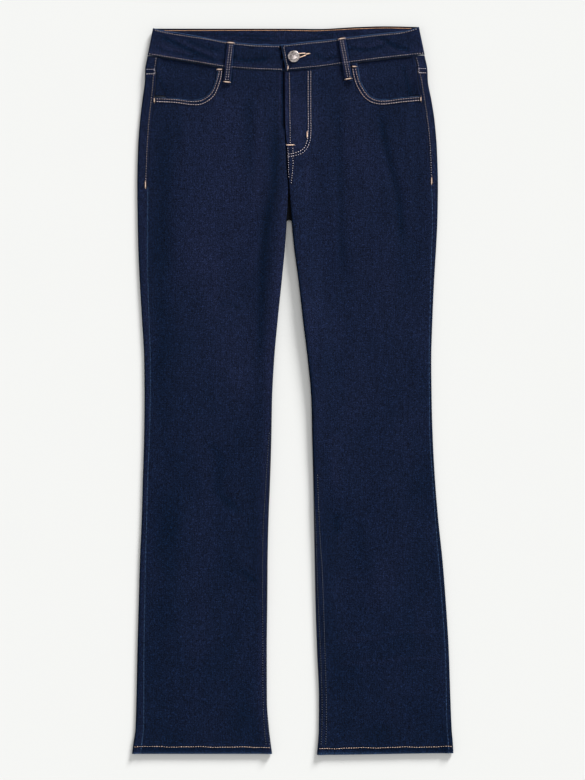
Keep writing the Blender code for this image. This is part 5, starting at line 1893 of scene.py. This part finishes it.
def waist_button():
    """A domed button with a rolled rim on its shank."""
    low = BAND_FRONT + SEAM_GAP
    seat = BAND_FRONT + LAYER_GAP + BAND_WALL + SEAM_GAP
    profile = [
        (0.0, 2.62), (1.5, 2.60), (3.0, 2.50), (4.4, 2.30), (5.6, 2.02), (6.3, 1.80), (6.75, 1.66),
        (7.0, 1.72), (7.3, 1.88), (7.7, 1.90), (8.1, 1.74), (8.4, 1.42), (8.5, 1.05), (8.3, 0.62),
        (7.8, 0.32), (6.8, 0.12), (5.0, 0.0), (2.6, 0.0),
    ]
    places = [(r, seat + z) for r, z in profile] + [(SHANK_RADIUS, low), (0.0, low)]
    bm = bmesh.new()
    points = [bm.verts.new((r * MM, 0.0, z * MM)) for r, z in places]
    edges = [bm.edges.new(pair) for pair in zip(points, points[1:])]
    bmesh.ops.spin(
        bm, geom=points + edges, cent=(0, 0, 0), axis=(0, 0, 1), angle=math.tau, steps=64, use_merge=True,
    )
    bmesh.ops.remove_doubles(bm, verts=bm.verts[:], dist=0.00001)
    bmesh.ops.recalc_face_normals(bm, faces=bm.faces[:])
    x, y = BUTTON_CENTRE
    bmesh.ops.translate(bm, verts=bm.verts[:], vec=(x * MM, y * MM, 0.0))
    button = finish_object("plated_waist_button", bm, [button_material()], sharp=60)
    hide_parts("waist_button")


def fly_zip():
    """The closed zip behind the fly: a strip of tape with its row of teeth."""
    across = np.linspace(0.0, 1.0, 13)
    down = np.linspace(0.0, 1.0, 72)
    u, v = np.meshgrid(across, down, indexing="ij")
    x = mix(ZIP_EDGES[0], ZIP_EDGES[1], u)
    y = mix(ZIP_ENDS[1], ZIP_ENDS[0], v)
    z = front_height(x, y) - 0.1 + 0.15 * hump(u - 0.5, 0.12)
    grid = np.stack((x, y, z), axis=2)
    strip = shell("zip_strip", grid, 1.0 + 0.0 * x, True, 0.0 * x, 0.0 * x, [tape_material()], edge=0.2)
    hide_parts("fly_zip")


# The pieces


def dress():
    """Makes every piece and its rows of stitches, and hides the parts that the pieces stand for."""
    panels, sewing = {}, {}
    for half in ("right", "left"):
        panels["front_" + half] = front_panel(half)
        panels["back_" + half] = back_panel(half)
        panels["yoke_" + half] = yoke(half)
        panels["pocket_facing_" + half] = pocket_facing(half)
        panels["back_pocket_" + half] = back_pocket(half)
        sewing["front_" + half] = sew_front(half)
        sewing["back_" + half] = sew_back(half)
    panels["waistband"] = waistband()
    for number, spot in enumerate(FRONT_LOOPS, 1):
        panels["belt_loop_{}".format(number)] = front_loop(number, spot)
    for number, offset in enumerate(BACK_LOOP_OFFSETS, len(FRONT_LOOPS) + 1):
        panels["belt_loop_{}".format(number)] = back_loop(number, offset)
    sewing["front_left"] += sew_fly()
    sewing["waistband"] = sew_band()
    sewing["belt_loop_1"] = sew_loops()
    for node, piece in panels.items():
        lay(node)
    waist_button()
    fly_zip()


# Floor, light and camera

FRAME_WIDTH, FRAME_HEIGHT = 585, 780
MM_PER_PIXEL = 1.45
LENS = 100.0
SENSOR = 36.0
VIEW_CENTRE = (-0.4, 0.9)
VIEW_LEVEL = 6.0
SUNS = (("key", 4.85, 17.0, (1.35, 2.45, 1.0)), ("top", 0.35, 14.0, (0.14, 0.04, 1.0)))
SKY = 0.52


def sun(name, energy, angle, towards):
    """A distant lamp: its strength, its width in degrees, and the way to it."""
    light = bpy.data.lights.new(name, "SUN")
    light.energy = energy
    light.angle = math.radians(angle)
    lamp = bpy.data.objects.new(name, light)
    lamp.rotation_mode = "QUATERNION"
    lamp.rotation_quaternion = Vector(towards).normalized().to_track_quat("Z", "Y")
    bpy.context.scene.collection.objects.link(lamp)


def stage():
    """The pale surface, the lamps, the sky and the camera straight above."""
    bm = bmesh.new()
    bmesh.ops.create_grid(bm, x_segments=1, y_segments=1, size=4.0)
    bmesh.ops.translate(bm, verts=bm.verts[:], vec=(0.0, 0.0, -0.0002))
    mesh = bpy.data.meshes.new("floor")
    bm.to_mesh(mesh)
    bm.free()
    mesh.materials.append(floor_material())
    floor = bpy.data.objects.new("floor", mesh)
    bpy.context.scene.collection.objects.link(floor)

    for lamp in SUNS:
        sun(*lamp)

    world = bpy.data.worlds.new("studio")
    world.use_nodes = True
    background = world.node_tree.nodes["Background"]
    background.inputs["Color"].default_value = (1.0, 1.0, 1.0, 1.0)
    background.inputs["Strength"].default_value = SKY
    bpy.context.scene.world = world

    camera = bpy.data.cameras.new("camera")
    camera.lens = LENS
    camera.sensor_width = SENSOR
    camera.clip_end = 20.0
    eye = bpy.data.objects.new("camera", camera)
    distance = FRAME_HEIGHT * MM_PER_PIXEL * LENS / SENSOR
    eye.location = (VIEW_CENTRE[0] * MM, VIEW_CENTRE[1] * MM, (VIEW_LEVEL + distance) * MM)
    bpy.context.scene.collection.objects.link(eye)
    bpy.context.scene.camera = eye
    bpy.context.scene.view_settings.view_transform = "Standard"


stage()
dress()


def corners(box):
    return [list(corner) for corner in box]
